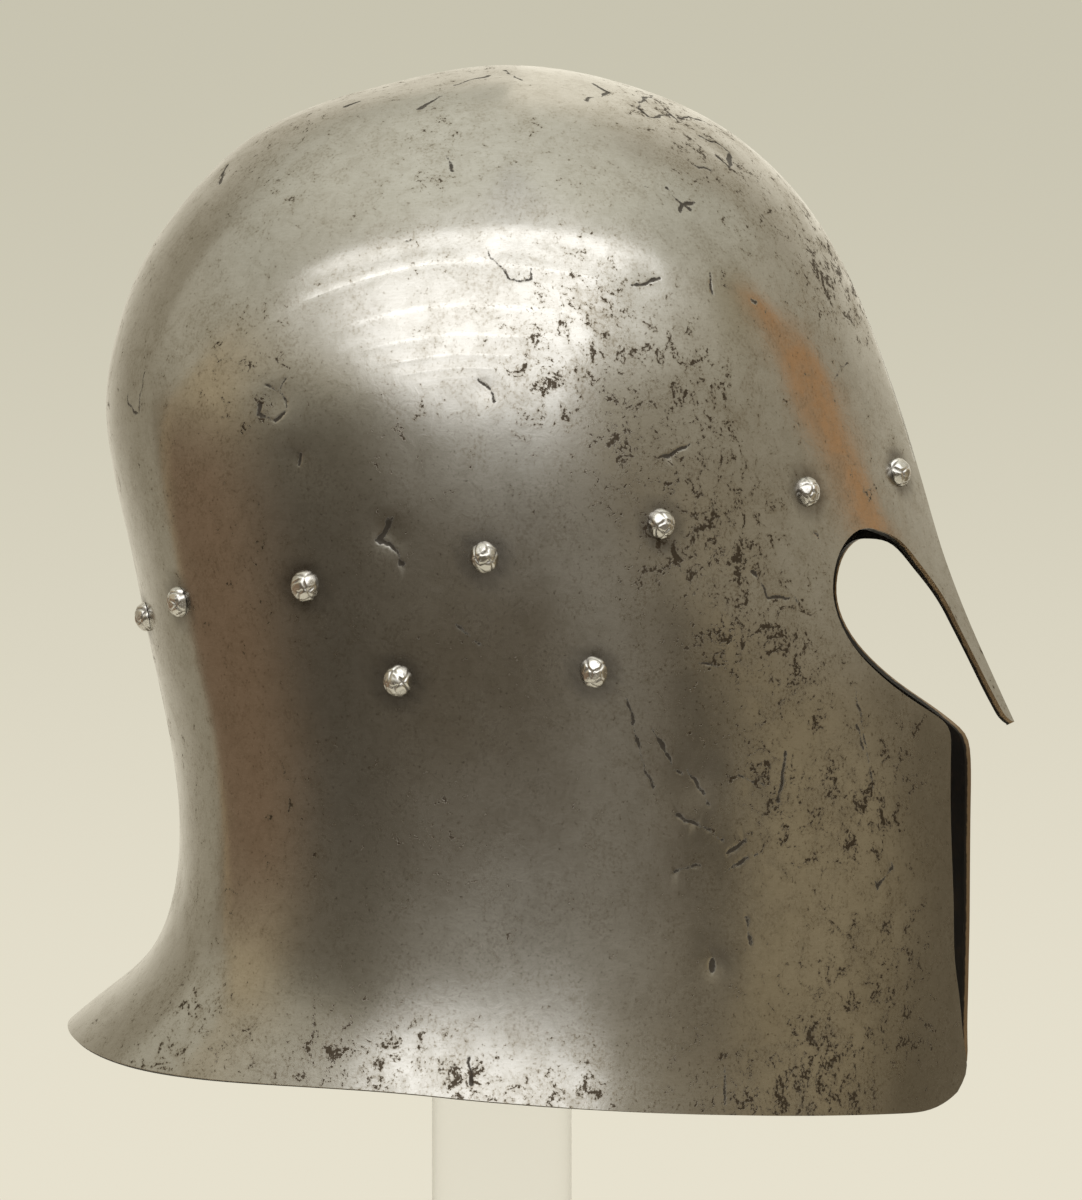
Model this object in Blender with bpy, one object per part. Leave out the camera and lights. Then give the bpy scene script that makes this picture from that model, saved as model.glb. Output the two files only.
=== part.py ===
"""A steel barbute on a plain post stand.

One raised steel skull carries everything: a bowl with a low keel, a pointed
nasal, two eye openings, cheeks that almost meet and a swept nape.  Fourteen
lining rivets and four chin-strap rivets pass through it.  A round post on a
round foot carries the helmet under its crown.

Metres at the end, millimetres in the tables.  The front of the helmet faces
-Y, the wearer's right is -X, +Z is up and the foot stands on z = 0.
"""

import bmesh
import bpy
import numpy as np
from mathutils import Matrix, Vector

MM = 0.001
RIM_HEIGHT = 115.0  # lowest point of the rim above the table
PLATE = 2.0  # thickness of the steel
GAP = 0.3  # clearance kept between neighbouring pieces

# The skull is a stack of seventeen rings from the rim to the crown.  Each ring is
# known at the keel line (front), at its widest point (side) and at the back.
# front_full and back_full square the ring off; keel is 1 for a sharp fold in
# front and 0.5 for a round one.  hang is how far a ring sags between its side and
# its back, where the nape flares out.
RING_COLUMNS = (
    "front_y", "front_z", "side_x", "side_y", "side_z",
    "back_y", "back_z", "front_full", "keel", "back_full", "hang",
)
RINGS = (
    (-129.0, -4.0, 101.0, 4.0, 9.6, 117.6, 19.6, 0.15, 1.00, 0.35, 3.6),
    (-130.5, 9.0, 98.6, 4.0, 19.5, 107.8, 27.6, 0.15, 1.00, 0.40, 2.4),
    (-131.5, 23.0, 96.6, 3.5, 31.0, 97.6, 36.2, 0.15, 1.00, 0.45, 1.2),
    (-132.2, 41.0, 95.2, 3.0, 46.0, 90.2, 48.0, 0.15, 1.00, 0.50, 0.4),
    (-132.5, 62.0, 94.8, 2.5, 65.0, 87.0, 65.0, 0.15, 1.00, 0.50, 0.0),
    (-132.3, 83.0, 95.2, 2.0, 84.5, 87.5, 84.0, 0.15, 1.00, 0.50, 0.0),
    (-130.5, 103.0, 96.5, 1.5, 104.0, 90.6, 103.0, 0.15, 1.00, 0.50, 0.0),
    (-126.5, 123.0, 98.3, 1.0, 123.5, 95.1, 123.0, 0.15, 1.00, 0.50, 0.0),
    (-120.8, 143.0, 100.0, 1.0, 143.5, 99.1, 143.0, 0.15, 1.00, 0.50, 0.0),
    (-114.3, 165.0, 100.8, 0.5, 165.0, 104.1, 165.0, 0.15, 0.98, 0.47, 0.0),
    (-107.5, 187.0, 99.4, 0.0, 187.0, 107.0, 187.0, 0.15, 0.92, 0.42, 0.0),
    (-100.5, 207.0, 95.0, -0.5, 207.0, 103.8, 207.0, 0.13, 0.83, 0.36, 0.0),
    (-91.5, 227.0, 86.0, -0.8, 227.0, 96.2, 227.0, 0.10, 0.73, 0.30, 0.0),
    (-79.2, 245.0, 72.5, -1.0, 245.0, 83.2, 245.0, 0.07, 0.66, 0.22, 0.0),
    (-61.0, 261.0, 54.5, -1.0, 261.0, 64.4, 261.0, 0.04, 0.62, 0.14, 0.0),
    (-38.3, 272.0, 33.0, -1.0, 272.0, 35.8, 272.0, 0.02, 0.60, 0.06, 0.0),
    (-1.0, 278.4, 0.0, -1.0, 278.4, -1.0, 278.4, 0.00, 0.60, 0.00, 0.0),
)

# Borders of the face opening, as (y, z) seen from the side.
EYE_EDGE = (
    (-100.0, 152.3), (-96.9, 151.8), (-93.3, 148.5), (-90.9, 143.3),
    (-90.0, 136.0), (-91.2, 129.5), (-94.3, 123.0), (-99.5, 116.5),
    (-107.4, 109.6), (-116.0, 103.6),
)
RIGHT_CHEEK = (
    (-119.6, 100.9), (-121.2, 98.3), (-121.5, 92.0), (-121.5, 75.0),
    (-122.1, 50.0), (-122.6, 36.0), (-123.8, 27.0), (-125.2, 15.0),
    (-125.9, 7.0), (-123.4, 1.6),
)
LEFT_CHEEK = (
    (-122.6, 100.2), (-126.0, 96.6), (-127.2, 91.0), (-127.4, 75.0),
    (-127.3, 50.0), (-127.0, 36.0), (-126.8, 27.0), (-126.6, 15.0),
    (-126.2, 7.0), (-123.4, 1.6),
)
# Half width of the nasal at each height, from the eye down to its tip.
NASAL_EDGE = (
    (20.6, 149.3), (14.2, 143.5), (10.6, 139.0), (7.6, 133.5),
    (6.2, 127.0), (5.1, 119.0), (4.4, 111.0), (3.6, 104.6),
)
NASAL_TIP_Z = 100.6
NASAL_LEAN = 8.3  # how far the nasal leans out in front of the cheeks

# Places of the rivets, (y, z) seen from the side, the same left and right.
LINING_RIVETS = (
    (-107.9, 167.5), (-83.7, 161.4), (-47.0, 152.3), (-3.5, 143.9),
    (42.0, 136.9), (78.0, 133.0), (92.0, 129.0),
)
STRAP_RIVETS = ((18.4, 113.1), (-30.2, 115.3))
SHANK = 1.9  # radius of a rivet shank
HEAD = 4.1  # radius of a rivet head
HEAD_RISE = 3.4
TAIL = 3.0  # radius of the clenched end inside
RIVET_SIDES = 8

POST = 19.05
POST_TOP = 274.1  # above the lowest point of the rim
BASE = 105.0
BASE_THICK = 15.0

KEEL_COLUMNS = 5  # keel to the top of the eye
SIDE_COLUMNS = 23  # top of the eye to the middle of the back
CROWN_ROWS = 12
NASAL_ROWS = 10
CHEEK_ROWS = 26


def spline(knots, values, at):
    """Natural cubic through the values, read at the wanted places."""
    count = len(knots)
    step = np.diff(knots)
    system = np.eye(count)
    bend = np.zeros(count)
    for i in range(1, count - 1):
        system[i, i - 1:i + 2] = step[i - 1], 2 * (step[i - 1] + step[i]), step[i]
        slope = (values[i + 1] - values[i]) / step[i]
        bend[i] = 6 * (slope - (values[i] - values[i - 1]) / step[i - 1])
    bend = np.linalg.solve(system, bend)
    i = np.clip(np.searchsorted(knots, at) - 1, 0, count - 2)
    after = at - knots[i]
    before = knots[i + 1] - at
    cubic = (bend[i] * before**3 + bend[i + 1] * after**3) / (6 * step[i])
    left = (values[i] / step[i] - bend[i] * step[i] / 6) * before
    right = (values[i + 1] / step[i] - bend[i + 1] * step[i] / 6) * after
    return cubic + left + right


TABLE = dict(zip(RING_COLUMNS, np.array(RINGS).T))


def ring_heights():
    """Place of each ring on its way to the crown: 0 at the rim, 1 at the top."""
    climb = np.zeros(len(RINGS) - 1)
    for across, up in (("front_y", "front_z"), ("side_x", "side_z"), ("back_y", "back_z")):
        climb += np.hypot(np.diff(TABLE[across]), np.diff(TABLE[up]))
    place = np.concatenate([[0.0], np.cumsum(climb)])
    return place / place[-1]


LEVELS = ring_heights()
OVER = np.concatenate([LEVELS, 2 - LEVELS[-2::-1]])  # up one side, down the other


def ring(level):
    """Every column of the ring table at any level.

    Front and back are one curve over the crown, so the top has no corner.
    """
    row = {}
    for axis in "yz":
        over = np.concatenate([TABLE["front_" + axis], TABLE["back_" + axis][-2::-1]])
        row["front_" + axis] = spline(OVER, over, level)
        row["back_" + axis] = spline(OVER, over, 2 - level)
    for name, sign in (("side_x", -1), ("side_z", 1)):
        over = np.concatenate([TABLE[name], sign * TABLE[name][-2::-1]])
        row[name] = spline(OVER, over, level)
    for name in ("side_y", "front_full", "keel", "back_full", "hang"):
        row[name] = spline(LEVELS, TABLE[name], level)
    return row


def skin(around, level, nasal=False):
    """Outer face of the right half: around is 0 at the keel and 1 at the back.

    A ring is a squared-off ellipse; in front its power rises towards one, which
    folds it into the keel.  The nasal leans forward by the square of its drop.
    """
    around, level = np.broadcast_arrays(np.asarray(around, float), np.asarray(level, float))
    row = ring(level)
    front = around < 0.5
    power = np.where(front, row["keel"], 0.5)
    turn = np.where(front, np.clip(2 * around, 0, 1) ** (0.5 / power), 2 * around)
    cos, sin = np.cos(np.pi / 2 * turn), np.sin(np.pi / 2 * turn)
    reach = np.where(front, row["side_y"] - row["front_y"], row["back_y"] - row["side_y"])
    full = np.where(front, row["front_full"], row["back_full"])
    x = row["side_x"] * (sin**2 * (1 + full * cos**2)) ** power
    y = row["side_y"] - reach * cos
    mean = (row["front_z"] + 2 * row["side_z"] + row["back_z"]) / 4
    tilt = (row["front_z"] - row["back_z"]) / 2
    saddle = (row["front_z"] - 2 * row["side_z"] + row["back_z"]) / 4
    z = mean + tilt * cos + saddle * (2 * cos**2 - 1)
    z = z - np.where(front, 0, row["hang"]) * (2 * sin * cos) ** 2
    if nasal:
        y = y - NASAL_LEAN * np.clip((150 - z) / 50, 0, None) ** 2
    return x, y, z


def find(wanted, axes, guess, nasal=False):
    """Stations (around, level) whose two named coordinates are the wanted ones."""
    place = np.array(guess, float) * np.ones((len(wanted), 2))
    wanted = np.array(wanted, float)
    nudge = 1e-5

    def read(at):
        point = dict(zip("xyz", skin(at[:, 0], at[:, 1], nasal)))
        return np.stack([point[axis] for axis in axes], axis=1)

    for _ in range(40):
        here = read(place)
        slope = np.stack(
            [(read(place + shift) - here) / nudge for shift in np.eye(2) * nudge], axis=2
        )
        step = np.linalg.solve(slope, (wanted - here)[..., None])[..., 0]
        step *= np.minimum(1, 0.03 / np.maximum(np.abs(step).max(axis=1), 1e-9))[:, None]
        place = np.clip(place + step, 1e-4, 0.9999)
    return place


def along(points, steps):
    """Even stations along a smooth line through the points, closer on its bends."""
    points = np.array(points, float)
    gaps = np.hypot(*(np.diff(points, axis=0) * (300, 320)).T)
    knots = np.concatenate([[0.0], np.cumsum(gaps**0.5)])
    at = np.linspace(0, knots[-1], steps + 1)
    return np.stack([spline(knots, points[:, k], at) for k in (0, 1)], axis=1)


def panel(top, bottom, front, back):
    """Fill a four-sided field of stations from its borders (a Coons patch)."""
    down = np.linspace(0, 1, len(front))[:, None, None]
    across = np.linspace(0, 1, len(top))[None, :, None]
    rows = (1 - down) * top[None] + down * bottom[None]
    columns = (1 - across) * front[:, None] + across * back[:, None]
    corners = (1 - down) * ((1 - across) * top[0] + across * top[-1])
    corners = corners + down * ((1 - across) * bottom[0] + across * bottom[-1])
    return rows + columns - corners


def half_panels(cheek):
    """Stations of the crown, nasal and cheek panels of one half."""
    edge = np.concatenate([
        find(EYE_EDGE, "yz", (0.10, 0.36)),
        find(cheek, "yz", (0.03, 0.15)),
    ])
    eye_top = edge[0]
    nasal = find(NASAL_EDGE, "xz", (0.02, 0.36), nasal=True)
    tip = find([(0.6, NASAL_TIP_Z)], "xz", (0.01, 0.29), nasal=True)[0]
    tip[0] = 0.0

    front_line = along(edge, CHEEK_ROWS)
    nasal_line = along(np.concatenate([[eye_top], nasal]), NASAL_ROWS)

    fore = np.linspace(0, eye_top[0], KEEL_COLUMNS + 1)
    aft = eye_top[0] + (1 - eye_top[0]) * np.linspace(0, 1, SIDE_COLUMNS + 1)
    brow_fore = eye_top[1] + 0.030 * (1 - np.exp((fore - eye_top[0]) / 0.02))
    brow_aft = eye_top[1] + 0.060 * (1 - np.exp((eye_top[0] - aft) / 0.04))
    brow_fore = np.stack([fore, brow_fore], axis=1)
    brow_aft = np.stack([aft, brow_aft], axis=1)

    brow = np.concatenate([brow_fore, brow_aft[1:]])
    top = np.stack([np.linspace(0, 1, len(brow)), np.ones(len(brow))], axis=1)
    rise = np.linspace(1, 0, CROWN_ROWS + 1)
    keel = np.stack([0 * rise, brow[0, 1] + (1 - brow[0, 1]) * rise], axis=1)
    back = np.stack([0 * rise + 1, brow[-1, 1] + (1 - brow[-1, 1]) * rise], axis=1)
    crown = panel(top, brow, keel, back)

    drop = np.linspace(0, 1, NASAL_ROWS + 1)[:, None]
    keel = (1 - drop) * brow_fore[0] + drop * tip
    bite = np.linspace(0, 1, KEEL_COLUMNS + 1)
    end = np.stack([
        nasal_line[-1, 0] * bite,
        tip[1] + (nasal_line[-1, 1] - tip[1]) * (1 - np.sqrt(1 - bite**2)),
    ], axis=1)
    nose = panel(brow_fore, end, keel, nasal_line)

    drop = np.linspace(0, 1, CHEEK_ROWS + 1)
    back = np.stack([0 * drop + 1, brow_aft[-1, 1] * (1 - drop)], axis=1)
    sweep = front_line[-1, 0] + (1 - front_line[-1, 0]) * np.linspace(0, 1, SIDE_COLUMNS + 1) ** 1.25
    round_off = np.clip(1 - (sweep - sweep[0]) / 0.045, 0, None) ** 3
    rim = np.stack([sweep, front_line[-1, 1] * round_off], axis=1)
    side = panel(brow_aft, rim, front_line, back)
    return (crown, False), (nose, True), (side, False)


def unit(vector):
    return vector / np.linalg.norm(vector, axis=-1, keepdims=True)


def place_on_skin(around, level, side):
    """Point on the outer face and the direction pointing straight out of it."""
    nudge = 1e-4

    def at(a, b):
        return np.array(skin(a, b), float) * (side, 1, 1)

    point = at(around, level)
    run = at(around + nudge, level) - at(around - nudge, level)
    climb = at(around, level + nudge) - at(around, level - nudge)
    out = unit(np.cross(run, climb)) * side
    if out @ (point - (0, 0, 120)) < 0:
        out = -out
    return point, out


def clear_scene():
    for item in list(bpy.data.objects):
        bpy.data.objects.remove(item, do_unlink=True)
    for mesh in list(bpy.data.meshes):
        bpy.data.meshes.remove(mesh)


def material(name, colour, metallic, roughness, alpha=1.0):
    made = bpy.data.materials.new(name)
    made.use_nodes = True
    shader = made.node_tree.nodes["Principled BSDF"]
    shader.inputs["Base Color"].default_value = (*colour, 1.0)
    shader.inputs["Metallic"].default_value = metallic
    shader.inputs["Roughness"].default_value = roughness
    shader.inputs["Alpha"].default_value = alpha
    return made


def finish_mesh(name, shape):
    """Turn a finished bmesh in millimetres into a mesh in metres, shaded smooth."""
    bmesh.ops.recalc_face_normals(shape, faces=shape.faces)
    bmesh.ops.scale(shape, vec=(MM, MM, MM), verts=shape.verts)
    mesh = bpy.data.meshes.new(name)
    shape.to_mesh(mesh)
    shape.free()
    mesh.shade_smooth()
    mesh.set_sharp_from_angle(angle=np.radians(35))
    return mesh


def add_object(name, mesh, look, place=None):
    """Place a mesh; places are millimetres above the lowest point of the rim."""
    made = bpy.data.objects.new(name, mesh)
    bpy.context.scene.collection.objects.link(made)
    if look:
        mesh.materials.append(look)
    place = place or Matrix()
    made.matrix_world = Matrix.Translation(
        (place.translation + Vector((0, 0, RIM_HEIGHT))) * MM
    ) @ place.to_quaternion().to_matrix().to_4x4()
    return made


def build_skull():
    """Both halves as one skin, welded along the middle, then given its thickness."""
    shape = bmesh.new()
    for side, cheek in ((-1, RIGHT_CHEEK), (1, LEFT_CHEEK)):
        for stations, nasal in half_panels(cheek):
            x, y, z = skin(stations[..., 0], stations[..., 1], nasal)
            x = np.where(stations[..., 0] > 0.99999, 0.0, x) * side
            grid = [
                [shape.verts.new(point) for point in line]
                for line in np.stack([x, y, z], axis=-1)
            ]
            for upper, lower in zip(grid, grid[1:]):
                for k in range(len(upper) - 1):
                    corners = [upper[k], upper[k + 1], lower[k + 1], lower[k]]
                    shape.faces.new(corners if side < 0 else corners[::-1])
    bmesh.ops.remove_doubles(shape, verts=shape.verts, dist=0.01)
    bmesh.ops.dissolve_degenerate(shape, edges=shape.edges, dist=0.01)
    bmesh.ops.triangulate(shape, faces=shape.faces, quad_method="SHORT_EDGE")
    steel = material("skull_steel", (0.44, 0.43, 0.40), 1.0, 0.32)
    skull = add_object("skull", finish_mesh("skull", shape), steel)
    wall = skull.modifiers.new("wall", "SOLIDIFY")
    wall.thickness = PLATE * MM
    wall.offset = -1.0
    wall.use_even_offset = True
    wall.use_quality_normals = True
    return skull


def turned(shape, profile, sides, place=None):
    """Spin a profile of (radius, height) pairs about the local z axis."""
    place = place or Matrix()
    line = [shape.verts.new(place @ Vector((radius, 0, height))) for radius, height in profile]
    edges = [shape.edges.new(pair) for pair in zip(line, line[1:])]
    axis = place.to_3x3() @ Vector((0, 0, 1))
    bmesh.ops.spin(
        shape, geom=line + edges, cent=place.translation, axis=axis,
        angle=2 * np.pi, steps=sides, use_merge=True,
    )
    bmesh.ops.remove_doubles(shape, verts=shape.verts, dist=0.001)


def frame_at(point, out):
    """Placement whose own z axis points straight out of the plate."""
    turn = Vector(out).to_track_quat("Z", "Y").to_matrix().to_4x4()
    return Matrix.Translation(Vector(point)) @ turn


def rivet_frames():
    """Name and placement of every rivet."""
    frames = []
    for kind, places in (("lining", LINING_RIVETS), ("strap", STRAP_RIVETS)):
        stations = find(places, "yz", (0.5, 0.42))
        for word, side in (("right", -1), ("left", 1)):
            for number, (around, level) in enumerate(stations, 1):
                point, out = place_on_skin(around, level, side)
                frames.append((f"{kind}_rivet_{word}_{number}", frame_at(point, out)))
    return frames


def build_rivets(places):
    """Domed head outside, shank through the plate, flat clenched end inside."""
    inside = -PLATE - 0.75
    profile = (
        (0, HEAD_RISE),
        (HEAD * 0.55, HEAD_RISE * 0.84),
        (HEAD * 0.92, HEAD_RISE * 0.45),
        (HEAD, GAP),
        (SHANK, GAP),
        (SHANK, inside),
        (TAIL, inside),
        (TAIL * 0.8, inside - 0.9),
        (0, inside - 0.9),
    )
    shape = bmesh.new()
    turned(shape, profile, RIVET_SIDES)
    rivet = finish_mesh("rivet", shape)
    rivet.materials.append(material("rivet_steel", (0.60, 0.59, 0.56), 1.0, 0.28))
    for name, place in places:
        add_object(name, rivet, None, place)


def drill(skull, places):
    """One drill for all the holes, cut out of the finished wall."""
    bore = SHANK + GAP
    shape = bmesh.new()
    for _, place in places:
        turned(shape, ((0, 4.0), (bore, 4.0), (bore, -7.0), (0, -7.0)), RIVET_SIDES, place)
    drills = add_object("rivet_drills", finish_mesh("rivet_drills", shape), None)
    drills.hide_render = True
    drills.display_type = "WIRE"
    cut = skull.modifiers.new("rivet_holes", "BOOLEAN")
    cut.operation = "DIFFERENCE"
    cut.solver = "EXACT"
    cut.object = drills


def build_stand():
    """Round post with an eased top, standing on a round foot."""
    floor = -RIM_HEIGHT
    top_of_base = floor + BASE_THICK
    solids = {
        "stand_post": (32, (
            (0, top_of_base + GAP),
            (POST, top_of_base + GAP),
            (POST, POST_TOP - 3.0),
            (POST - 3.0, POST_TOP),
            (0, POST_TOP),
        )),
        "stand_base": (48, (
            (0, floor),
            (BASE, floor),
            (BASE, top_of_base - 1.5),
            (BASE - 1.5, top_of_base),
            (0, top_of_base),
        )),
    }
    for name, (sides, profile) in solids.items():
        shape = bmesh.new()
        turned(shape, profile, sides)
        clear = material(name + "_acrylic", (0.92, 0.93, 0.90), 0.0, 0.08, 0.35)
        add_object(name, finish_mesh(name, shape), clear)


clear_scene()
skull = build_skull()
rivets = rivet_frames()
build_rivets(rivets)
drill(skull, rivets)
build_stand()
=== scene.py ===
# %% [markdown]
# # An old barbute on its post
#
# A barbute is a helmet raised from a single sheet of steel.  It has a bowl with a
# low keel, a pointed nasal, two eye openings, cheeks that almost meet and a nape
# that sweeps out over the shoulders.  This lesson dresses the plain solids of the
# part with a finer skull, hammered rivets and a polished acrylic stand.
#
# The frame gives every place and size, so it is loaded first and its box is kept.

import bmesh
import bpy
import numpy as np
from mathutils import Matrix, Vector


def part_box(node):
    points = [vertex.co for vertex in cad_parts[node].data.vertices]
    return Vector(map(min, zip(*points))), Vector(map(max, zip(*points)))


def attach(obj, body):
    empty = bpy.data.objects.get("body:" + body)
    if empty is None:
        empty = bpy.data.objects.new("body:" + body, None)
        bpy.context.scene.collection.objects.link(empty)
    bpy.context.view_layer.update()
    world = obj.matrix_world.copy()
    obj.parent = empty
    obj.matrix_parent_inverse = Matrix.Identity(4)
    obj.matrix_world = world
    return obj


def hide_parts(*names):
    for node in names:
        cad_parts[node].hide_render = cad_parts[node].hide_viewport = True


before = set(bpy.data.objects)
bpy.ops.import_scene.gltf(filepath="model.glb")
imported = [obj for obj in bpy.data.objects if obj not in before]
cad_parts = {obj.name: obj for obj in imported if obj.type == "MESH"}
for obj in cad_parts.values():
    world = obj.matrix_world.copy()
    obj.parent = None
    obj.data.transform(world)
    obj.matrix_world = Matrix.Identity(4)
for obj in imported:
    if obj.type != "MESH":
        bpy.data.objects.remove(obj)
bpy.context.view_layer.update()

# %% [markdown]
# The skull's shape is known by a short table in millimetres, with z counted from
# the lowest point of the rim.  The crown of the table is as high as the top of
# the skull's node, and that fixes how far everything is lifted.

# %% Places taken from the frame
MM = 0.001
PLATE = 2.0  # thickness of the steel
CROWN_Z = 278.4  # top of the bowl above the lowest point of the rim

skull_low, skull_high = (np.array(corner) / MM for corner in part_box("skull"))
LIFT = skull_high[2] - CROWN_Z
print(f"the lowest point of the rim stands {LIFT:.1f} mm above the table")

# %% [markdown]
# A bowl has no straight lines, so the numbers between two rings are read from a
# natural cubic spline.  It is the curve that a springy wooden batten takes when it
# is pinned at a few points, and shipwrights and armourers both trust it.

# %% A batten through a few points
def batten(knots, values, at):
    """Natural cubic spline: a cubic between each two knots, slope and bend the same
    on both sides of a knot, and no bend at the two ends."""
    count = len(knots)
    step = np.diff(knots)
    rise = np.diff(values) / step
    system = np.eye(count)
    bend = np.zeros(count)
    inner = np.arange(1, count - 1)
    system[inner, inner - 1] = step[:-1]
    system[inner, inner] = 2 * (step[:-1] + step[1:])
    system[inner, inner + 1] = step[1:]
    bend[inner] = 6 * np.diff(rise)
    bend = np.linalg.solve(system, bend)
    i = np.clip(np.searchsorted(knots, at) - 1, 0, count - 2)
    after, before = at - knots[i], knots[i + 1] - at
    cubic = (bend[i] * before**3 + bend[i + 1] * after**3) / (6 * step[i])
    left = (values[i] / step[i] - bend[i] * step[i] / 6) * before
    right = (values[i + 1] / step[i] - bend[i + 1] * step[i] / 6) * after
    return cubic + left + right


quarter = batten(np.array([0, 1, 2.0]), np.array([0, 1, 0.0]), 0.5)
print("a batten through 0, 1, 0 is", quarter, "at a quarter of its way")

# %% [markdown]
# The bowl is a stack of seventeen rings from the rim to the crown.  Each ring is
# known at the keel line in front, at its widest point and at the back.  The
# "full" columns square a ring off a little, keel is 1 where the front is a sharp
# fold and 0.5 where it is round, and hang is how far a ring sags between its side
# and its back, where the nape flares out.  Sculpting could make the same form, but
# a table keeps the two halves true and can be changed by a single number.

# %% The rings of the bowl
RING_COLUMNS = (
    "front_y", "front_z", "side_x", "side_y", "side_z",
    "back_y", "back_z", "front_full", "keel", "back_full", "hang",
)
RINGS = (
    (-129.0, -4.0, 101.0, 4.0, 9.6, 117.6, 19.6, 0.15, 1.00, 0.35, 3.6),
    (-130.5, 9.0, 98.6, 4.0, 19.5, 107.8, 27.6, 0.15, 1.00, 0.40, 2.4),
    (-131.5, 23.0, 96.6, 3.5, 31.0, 97.6, 36.2, 0.15, 1.00, 0.45, 1.2),
    (-132.2, 41.0, 95.2, 3.0, 46.0, 90.2, 48.0, 0.15, 1.00, 0.50, 0.4),
    (-132.5, 62.0, 94.8, 2.5, 65.0, 87.0, 65.0, 0.15, 1.00, 0.50, 0.0),
    (-132.3, 83.0, 95.2, 2.0, 84.5, 87.5, 84.0, 0.15, 1.00, 0.50, 0.0),
    (-130.5, 103.0, 96.5, 1.5, 104.0, 90.6, 103.0, 0.15, 1.00, 0.50, 0.0),
    (-126.5, 123.0, 98.3, 1.0, 123.5, 95.1, 123.0, 0.15, 1.00, 0.50, 0.0),
    (-120.8, 143.0, 100.0, 1.0, 143.5, 99.1, 143.0, 0.15, 1.00, 0.50, 0.0),
    (-114.3, 165.0, 100.8, 0.5, 165.0, 104.1, 165.0, 0.15, 0.98, 0.47, 0.0),
    (-107.5, 187.0, 99.4, 0.0, 187.0, 107.0, 187.0, 0.15, 0.92, 0.42, 0.0),
    (-100.5, 207.0, 95.0, -0.5, 207.0, 103.8, 207.0, 0.13, 0.83, 0.36, 0.0),
    (-91.5, 227.0, 86.0, -0.8, 227.0, 96.2, 227.0, 0.10, 0.73, 0.30, 0.0),
    (-79.2, 245.0, 72.5, -1.0, 245.0, 83.2, 245.0, 0.07, 0.66, 0.22, 0.0),
    (-61.0, 261.0, 54.5, -1.0, 261.0, 64.4, 261.0, 0.04, 0.62, 0.14, 0.0),
    (-38.3, 272.0, 33.0, -1.0, 272.0, 35.8, 272.0, 0.02, 0.60, 0.06, 0.0),
    (-1.0, CROWN_Z, 0.0, -1.0, CROWN_Z, -1.0, CROWN_Z, 0.00, 0.60, 0.00, 0.0),
)
TABLE = dict(zip(RING_COLUMNS, np.array(RINGS).T))
climb = sum(
    np.hypot(np.diff(TABLE[across]), np.diff(TABLE[up]))
    for across, up in (("front_y", "front_z"), ("side_x", "side_z"), ("back_y", "back_z"))
)
LEVELS = np.concatenate([[0.0], np.cumsum(climb)]) / climb.sum()
OVER = np.concatenate([LEVELS, 2 - LEVELS[-2::-1]])  # up one side and down the other


def ring(level):
    """Every column of the ring table at any level, 0 at the rim and 1 at the crown.
    A curve runs over the crown and down the far side, so the top has no corner."""
    row = {}
    for axis in "yz":
        over = np.concatenate([TABLE["front_" + axis], TABLE["back_" + axis][-2::-1]])
        row["front_" + axis] = batten(OVER, over, level)
        row["back_" + axis] = batten(OVER, over, 2 - level)
    for name, sign in (("side_x", -1), ("side_z", 1)):
        over = np.concatenate([TABLE[name], sign * TABLE[name][-2::-1]])
        row[name] = batten(OVER, over, level)
    for name in ("side_y", "front_full", "keel", "back_full", "hang"):
        row[name] = batten(LEVELS, TABLE[name], level)
    return row


print(len(RINGS), "rings; half way up the bowl is", round(float(2 * ring(0.5)["side_x"]), 1), "mm wide")

# %% [markdown]
# Any point of the outer face is then a function of two numbers: how far around it
# lies (0 at the keel, 1 at the middle of the back) and its level.  The nasal leans
# forward in front of the cheeks, by the square of how far it hangs down.

# %% The outer face as a function of two numbers
NASAL_LEAN = 8.3  # how far the nasal's tip stands out in front of the cheeks


def face(around, level, nasal=False):
    """Outer face of the right half, wearer's right towards +x here and mirrored later.
    x = half width * (sin^2 * (1 + full * cos^2)) ^ power,
    y = widest point's y - reach * cos,
    z = mean + tilt * cos + saddle * cos(2 * turn) - hang * sin(2 * turn)^2,
    where turn goes from 0 at the keel to a right angle at the side and on to the back."""
    around, level = np.broadcast_arrays(np.asarray(around, float), np.asarray(level, float))
    row = ring(level)
    front = around < 0.5
    power = np.where(front, row["keel"], 0.5)
    turn = np.where(front, np.clip(2 * around, 0, 1) ** (0.5 / power), 2 * around)
    cos, sin = np.cos(np.pi / 2 * turn), np.sin(np.pi / 2 * turn)
    reach = np.where(front, row["side_y"] - row["front_y"], row["back_y"] - row["side_y"])
    full = np.where(front, row["front_full"], row["back_full"])
    x = row["side_x"] * (sin**2 * (1 + full * cos**2)) ** power
    y = row["side_y"] - reach * cos
    mean = (row["front_z"] + 2 * row["side_z"] + row["back_z"]) / 4
    tilt = (row["front_z"] - row["back_z"]) / 2
    saddle = (row["front_z"] - 2 * row["side_z"] + row["back_z"]) / 4
    z = mean + tilt * cos + saddle * (2 * cos**2 - 1)
    z = z - np.where(front, 0, row["hang"]) * (2 * sin * cos) ** 2
    if nasal:
        y = y - NASAL_LEAN * np.clip((150 - z) / 50, 0, None) ** 2
    return x, y, z


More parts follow.
